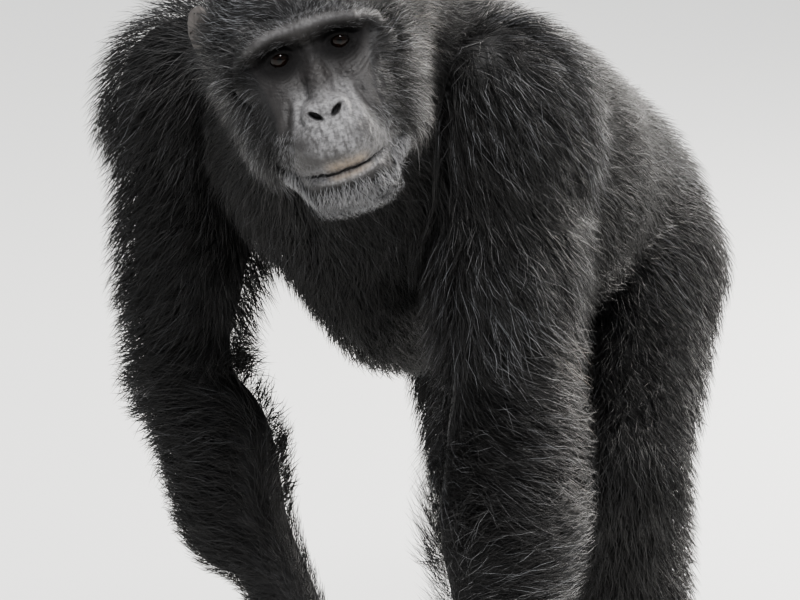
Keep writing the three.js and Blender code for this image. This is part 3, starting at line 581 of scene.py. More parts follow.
def headDepth(h):
    aside = smooth(np.abs(h[:, 0]), 30, 66)
    crown = coat["forehead"] + (coat["headCrown"] - coat["forehead"]) * smooth(-h[:, 1], 5, 70)
    depth = crown + (coat["headSide"] - crown) * aside * smooth(-h[:, 2], -50, 10)
    whiskers = aside * bell(h[:, 2] - 6, 30) * smooth(-h[:, 1], 20, 50) * fade(-h[:, 1], 84, 104)
    depth += coat["whiskers"] * whiskers
    under = smooth(-h[:, 2], 96, 118)
    return (depth * (1 - under) + (coat["chin"] + coat["chinSide"] * aside) * under) * hairiness(h)


# How much each part owns a place
def partShares(near):
    names = list(near)
    stack = np.stack([near[name] for name in names])
    weight = np.exp(-(stack - stack.min(axis=0)) / 9)
    weight /= weight.sum(axis=0)
    return dict(zip(names, weight))


def coatDepth(p, share):
    h = toHead(p)
    nape = coat["headCrown"] + (coat["trunk"] - coat["headCrown"]) * smooth(-h[:, 1], 90, 190)
    chest = coat["belly"] + (coat["trunk"] - coat["belly"]) * smooth(p[:, 2], 500, 600)
    depth = share["trunk"] * chest + share["neck"] * nape + share["head"] * headDepth(h)
    for side, limb in limbs.items():
        arm = coat["arm"] * smooth(p[:, 2], *limb["coatFade"]) + coat["hand"] * smooth(p[:, 2], 72, 125)
        leg = coat["leg"] * smooth(p[:, 2], 70, 190) + coat["foot"] * smooth(p[:, 2], 36, 64)
        depth += (share[f"{side}Arm"] + share[f"{side}Hand"]) * arm
        depth += (share[f"{side}Leg"] + share[f"{side}Foot"]) * leg
    return depth


# The skin: shapes run together as one closed surface, coarse under the coat and fine on the face
skinSizes = {
    "voxel": 0.0052, "keptShare": 0.42, "coveredDepth": (8, 14), "eyeReach": 16, "mouthReach": 5.5,
    "noseReach": 11,
}


def wrapped(name, fill, size, form, convert, revert, turns):
    shape = bmesh.new()
    fill(shape)
    piece = fromBmesh(name, shape)
    change = piece.modifiers.new("remesh", "REMESH")
    change.mode = "VOXEL"
    change.voxel_size = size
    applyChange(piece, change)
    points = convert(getPoints(piece.data))
    setPoints(piece.data, revert(settle(form, points, turns=turns)))
    return piece


def fillBody(shape):
    core.fill(shape, frameMatrix)
    headForm.fill(shape, headMatrix)
    for side in limbs:
        for form in (arms[side], legs[side], hands[side]["palm"], feet[side]["sole"]):
            form.fill(shape, frameMatrix)
    for digit in digits:
        digit.fill(shape, frameMatrix)


def thinOut(piece):
    p = fromFrame(getPoints(piece.data))
    share = partShares(partDistances(p))
    covered = smooth(coatDepth(p, share), *skinSizes["coveredDepth"])
    covered[faceBox(toHead(p), -45, 90, -140)] = 0
    group = piece.vertex_groups.new(name="covered")
    for level in np.linspace(0.1, 1, 10):
        group.add(np.nonzero(covered >= level - 0.05)[0].tolist(), float(level), "REPLACE")
    change = piece.modifiers.new("thin", "DECIMATE")
    change.ratio, change.vertex_group = skinSizes["keptShare"], group.name
    applyChange(piece, change)
    piece.vertex_groups.clear()


# Cuts the chosen faces finer, then settles their points on the form
def refine(mesh, chosen, form):
    shape = bmesh.new()
    shape.from_mesh(mesh)
    shape.verts.ensure_lookup_table()
    picked = chosen(headFromFrame(getPoints(mesh)))
    edges = [e for e in shape.edges if picked[e.verts[0].index] and picked[e.verts[1].index]]
    bmesh.ops.subdivide_edges(shape, edges=edges, cuts=1, use_grid_fill=True)
    shape.to_mesh(mesh)
    shape.free()
    points = headFromFrame(getPoints(mesh))
    near = chosen(points)
    points[near] = settle(form, points[near], turns=3, reach=2)
    setPoints(mesh, headToFrame(points))


# The points ahead of a plane, near the middle and between two levels of the head
def faceBox(h, back, aside, low, high=np.inf):
    return (h[:, 1] > back) & (np.abs(h[:, 0]) < aside) & (h[:, 2] > low) & (h[:, 2] < high)


def faceArea(h):
    return faceBox(h, -18, 60, -120, 40)


def fineArea(h):
    eyes = np.hypot(np.abs(h[:, 0]) - eye["apart"], (h[:, 2] + 1) * 1.3) < skinSizes["eyeReach"]
    lips = (np.abs(h[:, 2] - mouthLine(h)) < skinSizes["mouthReach"]) & (np.abs(h[:, 0]) < 41)
    nose = (np.abs(h[:, 0]) < 20) & (np.abs(h[:, 2] - nostril["level"]) < skinSizes["noseReach"])
    return (h[:, 1] > -12) & (eyes | lips | (nose & (h[:, 1] > 35)))


# The face is sculpted in the head's frame: forward moves and moves along the skin's own normal
mouth = {"level": -97.5, "rise": 2.4, "smirk": 3.5, "halfWidth": 36, "depth": 3.2}
nostril = {"apart": 9.2, "level": -46, "radii": (7.2, 3.0), "tilt": 40, "depth": 8}
muzzle = {"levels": (-112, -95, -88, -65, -44, -34), "widths": (36, 44, 45, 37, 29, 26)}
bags = {"radii": (12.6, 15.2, 18, 21.2, 24.6, 28.4), "depths": (0.5, 0.7, 0.9, 0.9, 0.8, 0.6), "width": 0.95}
sculpt = {
    "muzzleStep": 2.8, "muzzleFold": 3.4, "lidFold": 1.1, "browCrest": 3.4, "browHollow": 1.5, "frown": 1.1,
    "noseFolds": 6, "noseFoldPitch": 4.9, "noseFold": 0.6, "wing": 1.3, "wingFold": 1.5,
    "lipValley": 0.6, "upperLip": 1.1, "lowerLip": 1.7, "chinHollow": 1.3, "uneven": (0.22, 0.12),
}


def mouthLine(h):
    across = h[:, 0] / mouth["halfWidth"]
    return mouth["level"] + mouth["rise"] * across**2 + mouth["smirk"] * np.clip(-across, 0, 1.2) ** 3


def sculptFace(h, normal):
    x, y, z = h.T
    side = np.abs(x)
    front = smooth(y, -14, 4) * fade(side, 52, 60)
    # creaseShade gathers a painted shade: the skin is painted darker in its creases, folds, mouth line and
    # nostrils
    ahead, lift, creaseShade = (np.zeros(len(h)) for _ in range(3))

    # the muzzle stands clear of the cheeks
    edge = np.interp(z, muzzle["levels"], muzzle["widths"])
    tall = smooth(-z, 28, 42) * fade(-z, 102, 116) * smooth(y, -4, 12)
    fold = bell(side - edge - 3.5, 4.2) * tall
    ahead += tall * sculpt["muzzleStep"] * smooth(edge - side, -3, 6) - sculpt["muzzleFold"] * fold
    creaseShade += 0.8 * fold

    # creases under and around the eyes
    outward, high = side - eye["apart"], z
    ring = np.hypot(outward * 0.86, high) + 1.0 * waves(h, 34, 71) + 0.18 * waves(h, 9, 72)
    below = smooth(-high, -2, 8) * smooth(outward, -16, 0) * fade(side, 42, 52) * fade(-z, 30, 42)
    for radius, depth in zip(bags["radii"], bags["depths"]):
        line = bell(ring - radius, bags["width"]) * below * front
        lift += depth * (0.5 * bell(ring - radius - 1.5, 1.2) * below * front - line)
        creaseShade += depth * 0.8 * line
    over = bell(np.hypot(outward * 0.8, high) - 11.5, 1.3) * smooth(high, 2, 6) * front
    lift -= sculpt["lidFold"] * over
    creaseShade += over

    # brow: a fuller crest, two creases between the eyes, small folds over the nose
    crest = 23 - coat["browDrop"] * x**2
    ahead += sculpt["browCrest"] * bell(z - crest - 2, 6.5) * front
    ahead -= sculpt["browHollow"] * bell(z - crest + 9, 5) * front * smooth(side, 10, 18)
    frown = bell(side - 5.5, 1.4) * bell(z - 5, 9) * front
    lift -= sculpt["frown"] * frown
    creaseShade += frown
    for k in range(sculpt["noseFolds"]):
        level = 8 + sculpt["noseFoldPitch"] * k
        row = bell(z + level - 0.35 * side + 0.9 * waves(h, 14, 75 + k), 1.1)
        row = row * fade(side, 8, 16) * smooth(y, 2, 10)
        lift -= sculpt["noseFold"] * row
        creaseShade += 0.5 * row

    # nose: wings round two slanting nostrils
    across, up = side - nostril["apart"], z - nostril["level"]
    tilt = math.radians(nostril["tilt"])
    long = across * math.cos(tilt) + up * math.sin(tilt)
    short = up * math.cos(tilt) - across * math.sin(tilt)
    hole = fade(np.hypot(long / nostril["radii"][0], short / nostril["radii"][1]), 0.4, 1.15)
    nose = smooth(y, 30, 42)
    ahead -= nostril["depth"] * hole * nose
    creaseShade += 3 * hole * nose
    wing = np.hypot(across - 1, up)
    lift += sculpt["wing"] * bell(wing - 8.6, 2.4) * nose * smooth(across, -8, 2)
    wingFold = bell(wing - 13.2, 2) * smooth(y, 20, 30) * smooth(across, -4, 4) * smooth(up, -12, -2)
    lift -= sculpt["wingFold"] * wingFold
    creaseShade += 0.7 * wingFold

    # mouth: a closed line, the upper lip's roll and a thin lower lip
    off = z - mouthLine(h) + 0.35 * waves(h, 12, 79)
    wide = fade(side, mouth["halfWidth"] - 6, mouth["halfWidth"] + 2) * front
    slit = bell(off, 0.8) * wide
    lift -= mouth["depth"] * slit + sculpt["lipValley"] * bell(off, 4) * wide
    upperLip = sculpt["upperLip"] * bell(off - 5, 3.4)
    lift += (upperLip + sculpt["lowerLip"] * bell(off + 4.2, 2.8) * fade(side, 16, 32)) * wide
    lift -= sculpt["chinHollow"] * bell(off + 12, 4) * fade(side, 14, 30) * front
    creaseShade += 1.8 * slit

    # all over: small uneven skin
    broad, small = sculpt["uneven"]
    lift += (broad * waves(h, 9, 81) + small * waves(h, 4.2, 82)) * front
    moved = h + normal * lift[:, None]
    moved[:, 1] += ahead
    return moved, creaseShade


# Opens the lids: points near the opening's edge go onto it, those inside sink behind the eyeball
def openEyes(h):
    opening = eye["opening"]
    shell = eye["radius"] + eye["lid"]
    for s in (1, -1):
        centre = vec(s * eye["apart"], eye["depth"], 0)
        tilt = turnMatrix("Y", opening["tilt"] * s)
        q = (h - centre) @ tilt
        tall = np.where(q[:, 2] > 0, opening["above"], opening["below"])
        t = (np.abs(q[:, 0] / opening["halfWidth"]) ** 2 + np.abs(q[:, 2] / tall) ** 1.7) ** 0.5
        t = np.where((q[:, 1] > -2) & (np.hypot(q[:, 0], q[:, 2]) < 20), t, 9)
        snap = np.abs(t - 1) < 0.075
        q[snap] *= np.stack([1 / t[snap], np.ones(snap.sum()), 1 / t[snap]], axis=1)
        rim = bell(t - 1.14, 0.13) * 0.6
        inside = smooth(1 - t, 0, 0.2)
        depth = np.linalg.norm(q, axis=1)
        sunk = np.where(t < 1, np.minimum(depth, shell) - 3.6 * inside, depth + rim)
        h = q / np.maximum(depth, 1e-6)[:, None] * sunk[:, None] @ tilt.T + centre
    return h


def sculptHead(mesh):
    h = headFromFrame(getPoints(mesh))
    near = faceBox(h, -16, 62, -124, 44)
    creaseShade = np.zeros(len(h))
    moved, creaseShade[near] = sculptFace(h[near], slope(headForm, h[near]))
    h[near] = openEyes(moved)
    setPoints(mesh, headToFrame(h))
    # the painted shade of the creases goes on the skin as an attribute
    addAttribute(mesh, "creaseShade", np.clip(creaseShade, 0, 3))


unwrap = {"angle": 66, "margin": 0.001}


def unwrapSkin(piece):
    bpy.context.view_layer.objects.active = piece
    piece.select_set(True)
    bpy.ops.object.mode_set(mode="EDIT")
    bpy.ops.mesh.select_all(action="SELECT")
    bpy.ops.uv.smart_project(angle_limit=math.radians(unwrap["angle"]), island_margin=unwrap["margin"])
    bpy.ops.object.mode_set(mode="OBJECT")
    piece.select_set(False)


skin = wrapped("skin", fillBody, skinSizes["voxel"], wholeDistance, fromFrame, toFrame, 4)
print("skin", len(skin.data.polygons))
thinOut(skin)
print("thinned", len(skin.data.polygons))
unwrapSkin(skin)
print("unwrapped")
for area in (faceArea, faceArea, fineArea):
    refine(skin.data, area, headForm)
sculptHead(skin.data)
print("face sculpted", len(skin.data.polygons))
shadeSmooth(skin.data)


# Ears: a dished shell with a fold inside, its base sunk in the head
ear = {
    "out": 78, "back": -90, "up": 23, "height": 28, "width": 22, "thick": 9, "open": 38,
    "hollow": (17, 9, 24.5), "voxel": 0.0021, "uneven": (0.35, 0.2),
}


def earForm(s):
    angle = math.radians(ear["open"])
    outward = vec(s * math.cos(angle), math.sin(angle), 0)
    along = vec(-s * math.sin(angle), math.cos(angle), 0)
    upward = vec(0, 0, 1)
    axes = np.stack([along, np.cross(upward, along), upward], axis=1)
    centre = vec(s * ear["out"], ear["back"], ear["up"]) - along * ear["width"] * 0.6
    shell = egg(centre, (ear["width"], ear["thick"], ear["height"]), axes)
    hollow = egg(centre + outward * ear["thick"] * 0.75 + along * 3, ear["hollow"], axes)
    fold = taper(centre + outward - upward * 16, centre + outward * 1.5 - along * 6 + upward * 17, 4, 3)

    def distance(p):
        return blend(carve(shell(p), hollow(p), 3), fold(p), 3)

    return Form(distance, shell.fill, shell.low, shell.high)


def buildEar(side, s):
    form = earForm(s)

    def fill(shape):
        form.fill(shape, headMatrix)

    piece = wrapped(f"dished_ear_{side}", fill, ear["voxel"], form, headFromFrame, headToFrame, 6)
    h = headFromFrame(getPoints(piece.data))
    broad, small = ear["uneven"]
    h += slope(form, h) * (broad * waves(h, 9, 91) + small * waves(h, 4, 92))[:, None]
    setPoints(piece.data, headToFrame(h))
    addAttribute(piece.data, "rim", smooth(form(h - vec(0, 4, 0)) + 3, 0, 4))
    unwrapSkin(piece)
    shadeSmooth(piece.data)
    return piece


ears = {side: buildEar(side, s) for side, s in (("left", -1), ("right", 1))}
print("ears", len(ears["left"].data.polygons))


# Eyes: a ball with a bulging cornea, looking the way the head faces
cornea = {"bulge": 0.045, "edge": 0.86, "power": 0.8}


def buildEye(side, s):
    shape = bmesh.new()
    bmesh.ops.create_uvsphere(shape, u_segments=64, v_segments=40, radius=1)
    for v in shape.verts:
        inward = max(0.0, (v.co.z - cornea["edge"]) / (1 - cornea["edge"]))
        v.co *= 1 + cornea["bulge"] * inward ** cornea["power"]
    centre = vec(s * eye["apart"], eye["depth"], 0)
    look = Matrix(headTurn.tolist()).to_4x4() @ Matrix.Rotation(math.radians(-90), 4, "X")
    size = Matrix.Scale(eye["radius"] * mm, 4)
    place = Matrix.Translation(Vector(headToFrame(centre))) @ look @ size
    bmesh.ops.transform(shape, matrix=place, verts=shape.verts)
    ball = fromBmesh(f"eyeball_{side}", shape)
    local = headFromFrame(getPoints(ball.data)) - centre
    addAttribute(ball.data, "centred", np.hypot(local[:, 0], local[:, 2]) / eye["radius"])
    shadeSmooth(ball.data)
    return ball


eyeballs = {side: buildEye(side, s) for side, s in (("left", -1), ("right", 1))}
print("eyes")


# Nails: a thin bowed plate on each digit
nail = {
    "fingerSize": (4.6, 1.0, 6.2), "toeSize": (4.8, 1.0, 5.8), "sizedFor": 8.2, "ahead": 2.5, "sunk": 0.5,
    "bow": 0.055, "longBow": 0.012,
    "fingerFacing": (0, 1, -0.6), "thumbFacing": (0, 1, 0.2), "toeFacing": (0, 0.3, 1),
}


def addNail(shape, centre, ahead, outward, size):
    made = bmesh.ops.create_uvsphere(shape, u_segments=20, v_segments=12, radius=1)["verts"]
    side = np.cross(outward, ahead)
    axes = np.stack([side, outward, ahead], axis=1)
    for v in made:
        p = np.array(v.co) * vec(*size)
        p[1] -= nail["bow"] * p[0] ** 2 + nail["longBow"] * p[2] ** 2
        v.co = Vector(toFrame(centre + axes @ p))


def buildNails():
    shape = bmesh.new()
    for plan in (*hands.values(), *feet.values()):
        isHand = "palm" in plan
        size = nail["fingerSize"] if isHand else nail["toeSize"]
        for i, (joints, radii) in enumerate(plan["digits"]):
            facing = "toeFacing"
            if isHand:
                facing = "fingerFacing" if i < 4 else "thumbFacing"
            ahead, away = unit(joints[-1] - joints[-2]), vec(*nail[facing])
            outward = unit(away - ahead * (away @ ahead))
            centre = joints[-1] + ahead * nail["ahead"] + outward * (radii[-1] - nail["sunk"])
            addNail(shape, centre, ahead, outward, np.array(size) * radii[-1] / nail["sizedFor"])
    bmesh.ops.recalc_face_normals(shape, faces=shape.faces)
    piece = fromBmesh("nails", shape)
    shadeSmooth(piece.data)
    return piece


nails = buildNails()
print("nails")


# The way the hair lies: out from the middle, backwards and up
lies = {
    "upperArm": (0.75, 0.15, 0), "elbow": (0.95, 0.45, -0.25), "forearm": (0.75, 0.35, 0),
    "hand": (0.1, 0, -1), "thigh": (0.1, 0.35, -0.5), "shin": (0, 0.1, 0), "foot": (0, -0.8, -0.6),
    "neck": (0.3, 0.55, -0.6),
}


def lieOf(name, limb):
    out, back, up = lies[name]
    return vec(out * limb["out"], back, up)


def headLie(h):
    x, y, z = h.T
    side = np.sign(x) * smooth(np.abs(x), 3, 30)
    low = smooth(-z, -22, 45)
    chin = smooth(-z, 96, 122) * smooth(y, -20, 10)
    back = -0.85 + 0.4 * low + 0.6 * chin
    up = 0.28 - 1.0 * low - 0.2 * chin
    return columns((0.55 + 0.25 * low - 0.5 * chin) * side, back, up) @ headTurn.T


def armLie(p, limb):
    shoulder, elbow, wrist = (vec(*limb[k]) for k in ("shoulder", "elbow", "wrist"))
    z = p[:, 2]
    upper = unit(elbow - shoulder) + lieOf("upperArm", limb)
    sweep = lieOf("elbow", limb)
    fore = unit(elbow - wrist) * 0.6 + lieOf("forearm", limb)
    turning = smooth(-z, -elbow[2] - 130, -elbow[2] - 30)[:, None]
    rising = smooth(-z, -elbow[2] + 20, -elbow[2] + 110)[:, None]
    return upper * (1 - turning) + (sweep * (1 - rising) + fore * rising) * turning


def legLie(p, limb):
    hip, knee, ankle = (vec(*limb[k]) for k in ("hip", "knee", "ankle"))
    shin = smooth(-p[:, 2], -knee[2] - 20, -knee[2] + 30)[:, None]
    thigh = unit(knee - hip) + lieOf("thigh", limb)
    return thigh * (1 - shin) + (unit(ankle - knee) + lieOf("shin", limb)) * shin


def hairLie(p, share):
    flank = np.clip(np.abs(p[:, 0]) / 150, 0, 1)
    side = np.sign(p[:, 0])
    breast = smooth(-p[:, 1], 180, 260) * smooth(-p[:, 2], -640, -560)
    trunkLie = columns(0.12 * side, 0.85 - 0.8 * breast, -0.3 - 0.55 * flank - 0.8 * breast)
    out, back, up = lies["neck"]
    neckLie = columns(out * side, back, up)
    lie = share["trunk"][:, None] * trunkLie + share["neck"][:, None] * neckLie
    lie += share["head"][:, None] * headLie(toHead(p))
    for name, limb in limbs.items():
        lie += share[f"{name}Arm"][:, None] * armLie(p, limb)
        lie += share[f"{name}Hand"][:, None] * lieOf("hand", limb)
        lie += share[f"{name}Leg"][:, None] * legLie(p, limb)
        lie += share[f"{name}Foot"][:, None] * lieOf("foot", limb)
    return unit(lie)


# Random places on a mesh, so many to the square centimetre
class Places:
    def __init__(self, mesh):
        mesh.calc_loop_triangles()
        count = len(mesh.loop_triangles)
        corners, loops = np.empty(count * 3, np.int32), np.empty(count * 3, np.int32)
        mesh.loop_triangles.foreach_get("vertices", corners)
        mesh.loop_triangles.foreach_get("loops", loops)
        uv = np.empty(len(mesh.loops) * 2, np.float32)
        mesh.uv_layers.active.data.foreach_get("uv", uv)
        self.points = fromFrame(getPoints(mesh))[corners].reshape(-1, 3, 3)
        self.normals = getNormals(mesh)[corners].reshape(-1, 3, 3)
        self.uv = uv.reshape(-1, 2)[loops].reshape(-1, 3, 2)
        edges = self.points[:, 1:] - self.points[:, :1]
        self.area = np.linalg.norm(np.cross(edges[:, 0], edges[:, 1]), axis=1) / 2
        self.middle = self.points.mean(axis=1)

    def draw(self, perSquareCm, seed):
        chance = np.random.default_rng(seed)
        wanted = self.area * perSquareCm / 100
        number = np.floor(wanted + chance.random(len(wanted))).astype(int)
        face = np.repeat(np.arange(len(wanted)), number)
        a, b = chance.random((2, len(face)))
        over = a + b > 1
        a[over], b[over] = 1 - a[over], 1 - b[over]
        share = np.stack([1 - a - b, a, b], axis=1)[:, :, None]
        return {
            "root": (self.points[face] * share).sum(axis=1),
            "normal": unit((self.normals[face] * share).sum(axis=1)),
            "uv": (self.uv[face] * share).sum(axis=1),
        }


# A tuft has its root, two rings of three points and a tip; paleWidth is how thin a pale one is
tuft = {
    "rings": (0.3, 0.68), "ringWidths": (1.0, 0.75), "thickness": 0.9, "rootDepth": 1.2, "paleWidth": 0.62,
    "wave": 0.08, "sways": (1, -1.1, 0.9), "sag": 0.12, "stray": 0.08, "lengths": (0.55, 1.25),
    "locks": 12, "clump": 17, "patch": (0.0012, 0.003),
}
coatHabit = {"spread": 0.24, "rise": (0.5, 1.1), "gather": 0.1}


# For each root, the nearest of a thinner set of roots, towards which a lock's tips gather
def lockMiddles(root, normal, seed):
    chance = np.random.default_rng(seed)
    wanted = max(8, int(len(root) * tuft["locks"] / tuft["clump"] ** 2))
    picked = chance.choice(len(root), min(wanted, len(root)), replace=False)
    tree = KDTree(len(picked))
    for i, k in enumerate(picked):
        tree.insert(Vector(root[k]), i)
    tree.balance()
    nearest = np.array([tree.find(Vector(p))[1] for p in root])
    towards = root[picked][nearest] - root
    return towards - normal * (towards * normal).sum(axis=1, keepdims=True)


# The way each tuft runs: its root under the skin, its rings along the coat and its tip
def tuftPath(roots, size, lie, seed, grey, habit):
    chance = np.random.default_rng(seed)
    root, normal = roots["root"], roots["normal"]
    count = len(root)
    shade = chance.random(count)
    lie = lie - normal * (lie * normal).sum(axis=1, keepdims=True) * 0.9
    sideways = unit(np.cross(normal, lie))
    heading = unit(unit(lie) + sideways * chance.normal(0, habit["spread"], (count, 1)))
    length = size["length"] * chance.uniform(*tuft["lengths"], count)
    rise = chance.uniform(*habit["rise"], count)
    gathered = lockMiddles(root, normal, seed) * habit["gather"]
    phase = chance.uniform(-1, 1, (count, 1))
    at, last, spots = root.copy(), 0, [root - normal * tuft["rootDepth"]]
    for share, sway in zip((*tuft["rings"], 1), tuft["sways"]):
        at = at + heading * (length * (share - last))[:, None]
        at = at + sideways * phase * (length * tuft["wave"] * sway)[:, None]
        at = at + gathered * (share**1.5 - last**1.5)
        at = settle(bodyDistance, at, size["depth"] * rise * share**0.75, reach=14)
        heading = unit(heading + vec(0, 0, -tuft["sag"]) + chance.normal(0, tuft["stray"], (count, 3)))
        spots.append(at)
        last = share
    width = size["width"] * np.where(shade < grey + 0.03, tuft["paleWidth"], 1)
    return spots, unit(np.cross(unit(normal), heading)), width, shade


# Tufts as one mesh of slender closed leaves, each with a small patch of the bake map at its root's place
def growTufts(name, roots, size, lie, seed, colour, habit):
    spots, across, width, shade = tuftPath(roots, size, lie, seed, colour["grey"], habit)
    count, up, half = len(shade), unit(roots["normal"]), (width * 0.5)[:, None]
    rows = [spots[0]]
    for spot, thick in zip(spots[1:-1], tuft["ringWidths"]):
        raised = spot + up * half * thick * tuft["thickness"]
        rows += [spot + across * half * thick, raised, spot - across * half * thick]
    rows.append(spots[-1])
    points = np.stack(rows, axis=1)
    perTuft = points.shape[1]
    turns = [(j, (j + 1) % 3) for j in range(3)]
    quads = [(1 + a, 1 + b, 4 + b, 4 + a) for a, b in turns]
    triangles = [(0, 1 + b, 1 + a) for a, b in turns] + [(4 + a, 4 + b, 7) for a, b in turns]
    corners = np.concatenate([np.ravel(quads), np.ravel(triangles)])
    loops = ((np.arange(count) * perTuft)[:, None] + corners).ravel()
    sizes = np.tile([4] * len(quads) + [3] * len(triangles), count)
    mesh = bpy.data.meshes.new(name)
    mesh.vertices.add(count * perTuft)
    mesh.loops.add(len(loops))
    mesh.polygons.add(len(sizes))
    mesh.vertices.foreach_set("co", toFrame(points.reshape(-1, 3)).astype(np.float32).ravel())
    mesh.loops.foreach_set("vertex_index", loops.astype(np.int32))
    starts = np.concatenate([[0], np.cumsum(sizes)[:-1]])
    mesh.polygons.foreach_set("loop_start", starts.astype(np.int32))
    mesh.update(calc_edges=True)
    shadeSmooth(mesh)
    along = np.array([0, *[s for s in tuft["rings"] for _ in range(3)], 1.0])
    beside = np.array([0, *(-1, 0, 1) * 2, 0])
    wide, tall = tuft["patch"]
    offset = np.stack([beside * wide, along * tall - tall / 2], axis=1)
    uv = (roots["uv"][:, None, :] + offset[None]).reshape(-1, 2)
    layer = mesh.uv_layers.new(name="OFBake")
    layer.data.foreach_set("uv", uv[loops].astype(np.float32).ravel())
    addAttribute(mesh, "along", np.tile(along, count))
    for mark, values in (("shade", shade), *colour.items()):
        addAttribute(mesh, mark, np.repeat(values, perTuft))
    return newObject(name, mesh)


# Pale hairs by place: the share of a coat's hairs that are silver, with more on the rump as a painted sheen
# and fewer low on the front as a painted shade, and how tan they are, with tan on the left arm's outer edge
# as a painted sheen
silvering = {
    "trunk": 0.05, "rump": 0.22, "underTrunkShade": 0.05, "neck": 0.06, "leg": 0.015, "thigh": 0.14,
    "leftArm": 0.17, "rightArm": 0.1, "underArmShade": 0.06,
    "face": 0.16, "cheeks": 0.24, "crown": 0.25, "beard": 0.7, "patchy": 0.25,
}


def silverAndSheen(p, share):
    h = toHead(p)
    # the rump's extra pale hairs: a painted sheen
    trunk = silvering["trunk"] + silvering["rump"] * smooth(p[:, 1], 170, 280) * smooth(p[:, 2], 440, 540)
    leg = silvering["leg"] + silvering["thigh"] * smooth(p[:, 2], 400, 480)
    cheeks = silvering["face"]
    cheeks = cheeks + silvering["cheeks"] * smooth(-h[:, 2], 20, 80) * smooth(np.abs(h[:, 0]), 40, 70)
    crown = silvering["crown"] * smooth(h[:, 1], -60, -10) * smooth(h[:, 2], 15, 35)
    beard = smooth(-h[:, 2], 84, 116) * smooth(h[:, 1], -45, -5)
    # fewer pale hairs low on the front of the trunk and the right arm: painted shade
    under = smooth(-p[:, 2], -640, -480) * smooth(-p[:, 1], -40, 40)
    grey = share["trunk"] * (trunk - silvering["underTrunkShade"] * under) + silvering["neck"] * share["neck"]
    grey += share["head"] * (cheeks + crown + silvering["beard"] * beard)
    grey += share["leftArm"] * silvering["leftArm"]
    grey += share["rightArm"] * (silvering["rightArm"] - silvering["underArmShade"] * under)
    grey += (share["leftLeg"] + share["rightLeg"]) * leg
    return np.clip(grey * (1 + silvering["patchy"] * waves(p, 120, 5)), 0.008, 0.95)


def tanAndSheenShare(p, share):
    h = toHead(p)
    # tan hairs on the left arm's outer edge: a painted sheen
    edge = share["leftArm"] * smooth(p[:, 0], 160, 200) * bell(p[:, 2] - 420, 110)
    temple = share["head"] * smooth(-h[:, 0], 55, 80) + share["head"] * 0.7 * smooth(h[:, 0], 60, 80)
    return np.clip(edge + temple + 0.15 + 0.15 * waves(p, 90, 6), 0, 1)


# Pieces of the coat, each below the limit on triangles; density is tufts to the square centimetre
coatPieces = {
    "head": {"parts": ("head",), "seed": 11, "density": 22, "length": 44, "width": 0.56},
    "neck": {"parts": ("neck",), "seed": 12, "density": 15, "length": 52, "width": 0.72},
    "chest": {"parts": ("trunk",), "seed": 13, "density": 9, "length": 48, "width": 0.85},
    "belly": {"parts": ("trunk",), "seed": 14, "density": 8, "length": 52, "width": 0.95},
    "pelvis": {"parts": ("trunk",), "seed": 15, "density": 8.6, "length": 50, "width": 0.92},
    "arm_left": {"parts": ("leftArm", "leftHand"), "seed": 16, "density": 10, "length": 46, "width": 0.76},
    "arm_right": {"parts": ("rightArm", "rightHand"), "seed": 17, "density": 10, "length": 46, "width": 0.76},
    "leg_left": {"parts": ("leftLeg", "leftFoot"), "seed": 18, "density": 9, "length": 46, "width": 0.92},
    "leg_right": {"parts": ("rightLeg", "rightFoot"), "seed": 19, "density": 9, "length": 46, "width": 0.92},
}
trunkSpans = {"chest": (-400, -20), "belly": (-20, 190), "pelvis": (190, 600)}
thinnest = {"length": 0.2, "width": 0.55, "crown": 0.45}


def pickFaces(places, near, name):
    names = list(near)
    owner = np.argmin(np.stack(list(near.values())), axis=0)
    picked = np.isin(owner, [names.index(part) for part in coatPieces[name]["parts"]])
    low, high = trunkSpans.get(name, (-np.inf, np.inf))
    return picked & (places.middle[:, 1] >= low) & (places.middle[:, 1] < high)


def onDigits(p):
    found = np.zeros(len(p), bool)
    low = p[:, 2] < 110
    for digit in digits:
        found[low] |= digit(p[low]) < 1.5
    return found


def buildCoat(places):
    near = partDistances(places.middle)
    depth = coatDepth(places.middle, partShares(near))
    grows = smooth(depth, 1.2, 6) * ~onDigits(places.middle) * (places.middle[:, 2] > 6)
    made = []
    for name, piece in coatPieces.items():
        roots = places.draw(piece["density"] * grows * pickFaces(places, near, name), piece["seed"])
        here = roots["root"]
        share = partShares(partDistances(here))
        rootDepth = coatDepth(here, share)
        full = smooth(rootDepth, 2, 19)
        lie = hairLie(here, share)
        for k in range(3):
            lie[:, k] += 0.14 * waves(here, 60, 30 + k) + 0.16 * waves(here, 17, 40 + k)
        h = toHead(here)
        length = piece["length"] * (thinnest["length"] + (1 - thinnest["length"]) * full)
        length *= 1 - thinnest["crown"] * share["head"] * smooth(h[:, 1], -60, -10) * smooth(h[:, 2], 15, 35)
        width = piece["width"] * (thinnest["width"] + (1 - thinnest["width"]) * full)
        size = {"length": length, "width": width, "depth": rootDepth * 0.98}
        colour = {"grey": silverAndSheen(here, share), "tanAndSheen": tanAndSheenShare(here, share)}
        made.append(growTufts(f"coat_{name}", roots, size, lie, piece["seed"], colour, coatHabit))
        print(name, "tufts", len(here))
    return made


# Short pale hairs on the muzzle and lips, the beard, and the fine hair that edges the brow;
# their lies are in the head's frame, out from its middle, ahead and up
shortHair = {
    "muzzle": {"seed": 51, "density": 30, "length": 7, "width": 0.4, "rise": 2.2, "pale": 0.85},
    "beard": {"seed": 52, "density": 76, "length": 16, "width": 0.85, "rise": 6, "pale": 0.93},
    "brow": {"seed": 53, "density": 60, "length": 9, "width": 0.42, "rise": 2.4, "pale": 0.55},
}
shortLies = {"muzzle": (0.7, 0.1, -0.9), "beard": (0.7, 0.1, -0.9), "brow": (1.1, -0.3, 0.7)}
shortHabit = {"spread": 0.35, "rise": (0.4, 1.2), "gather": 0, "tanAndSheen": 0.15}


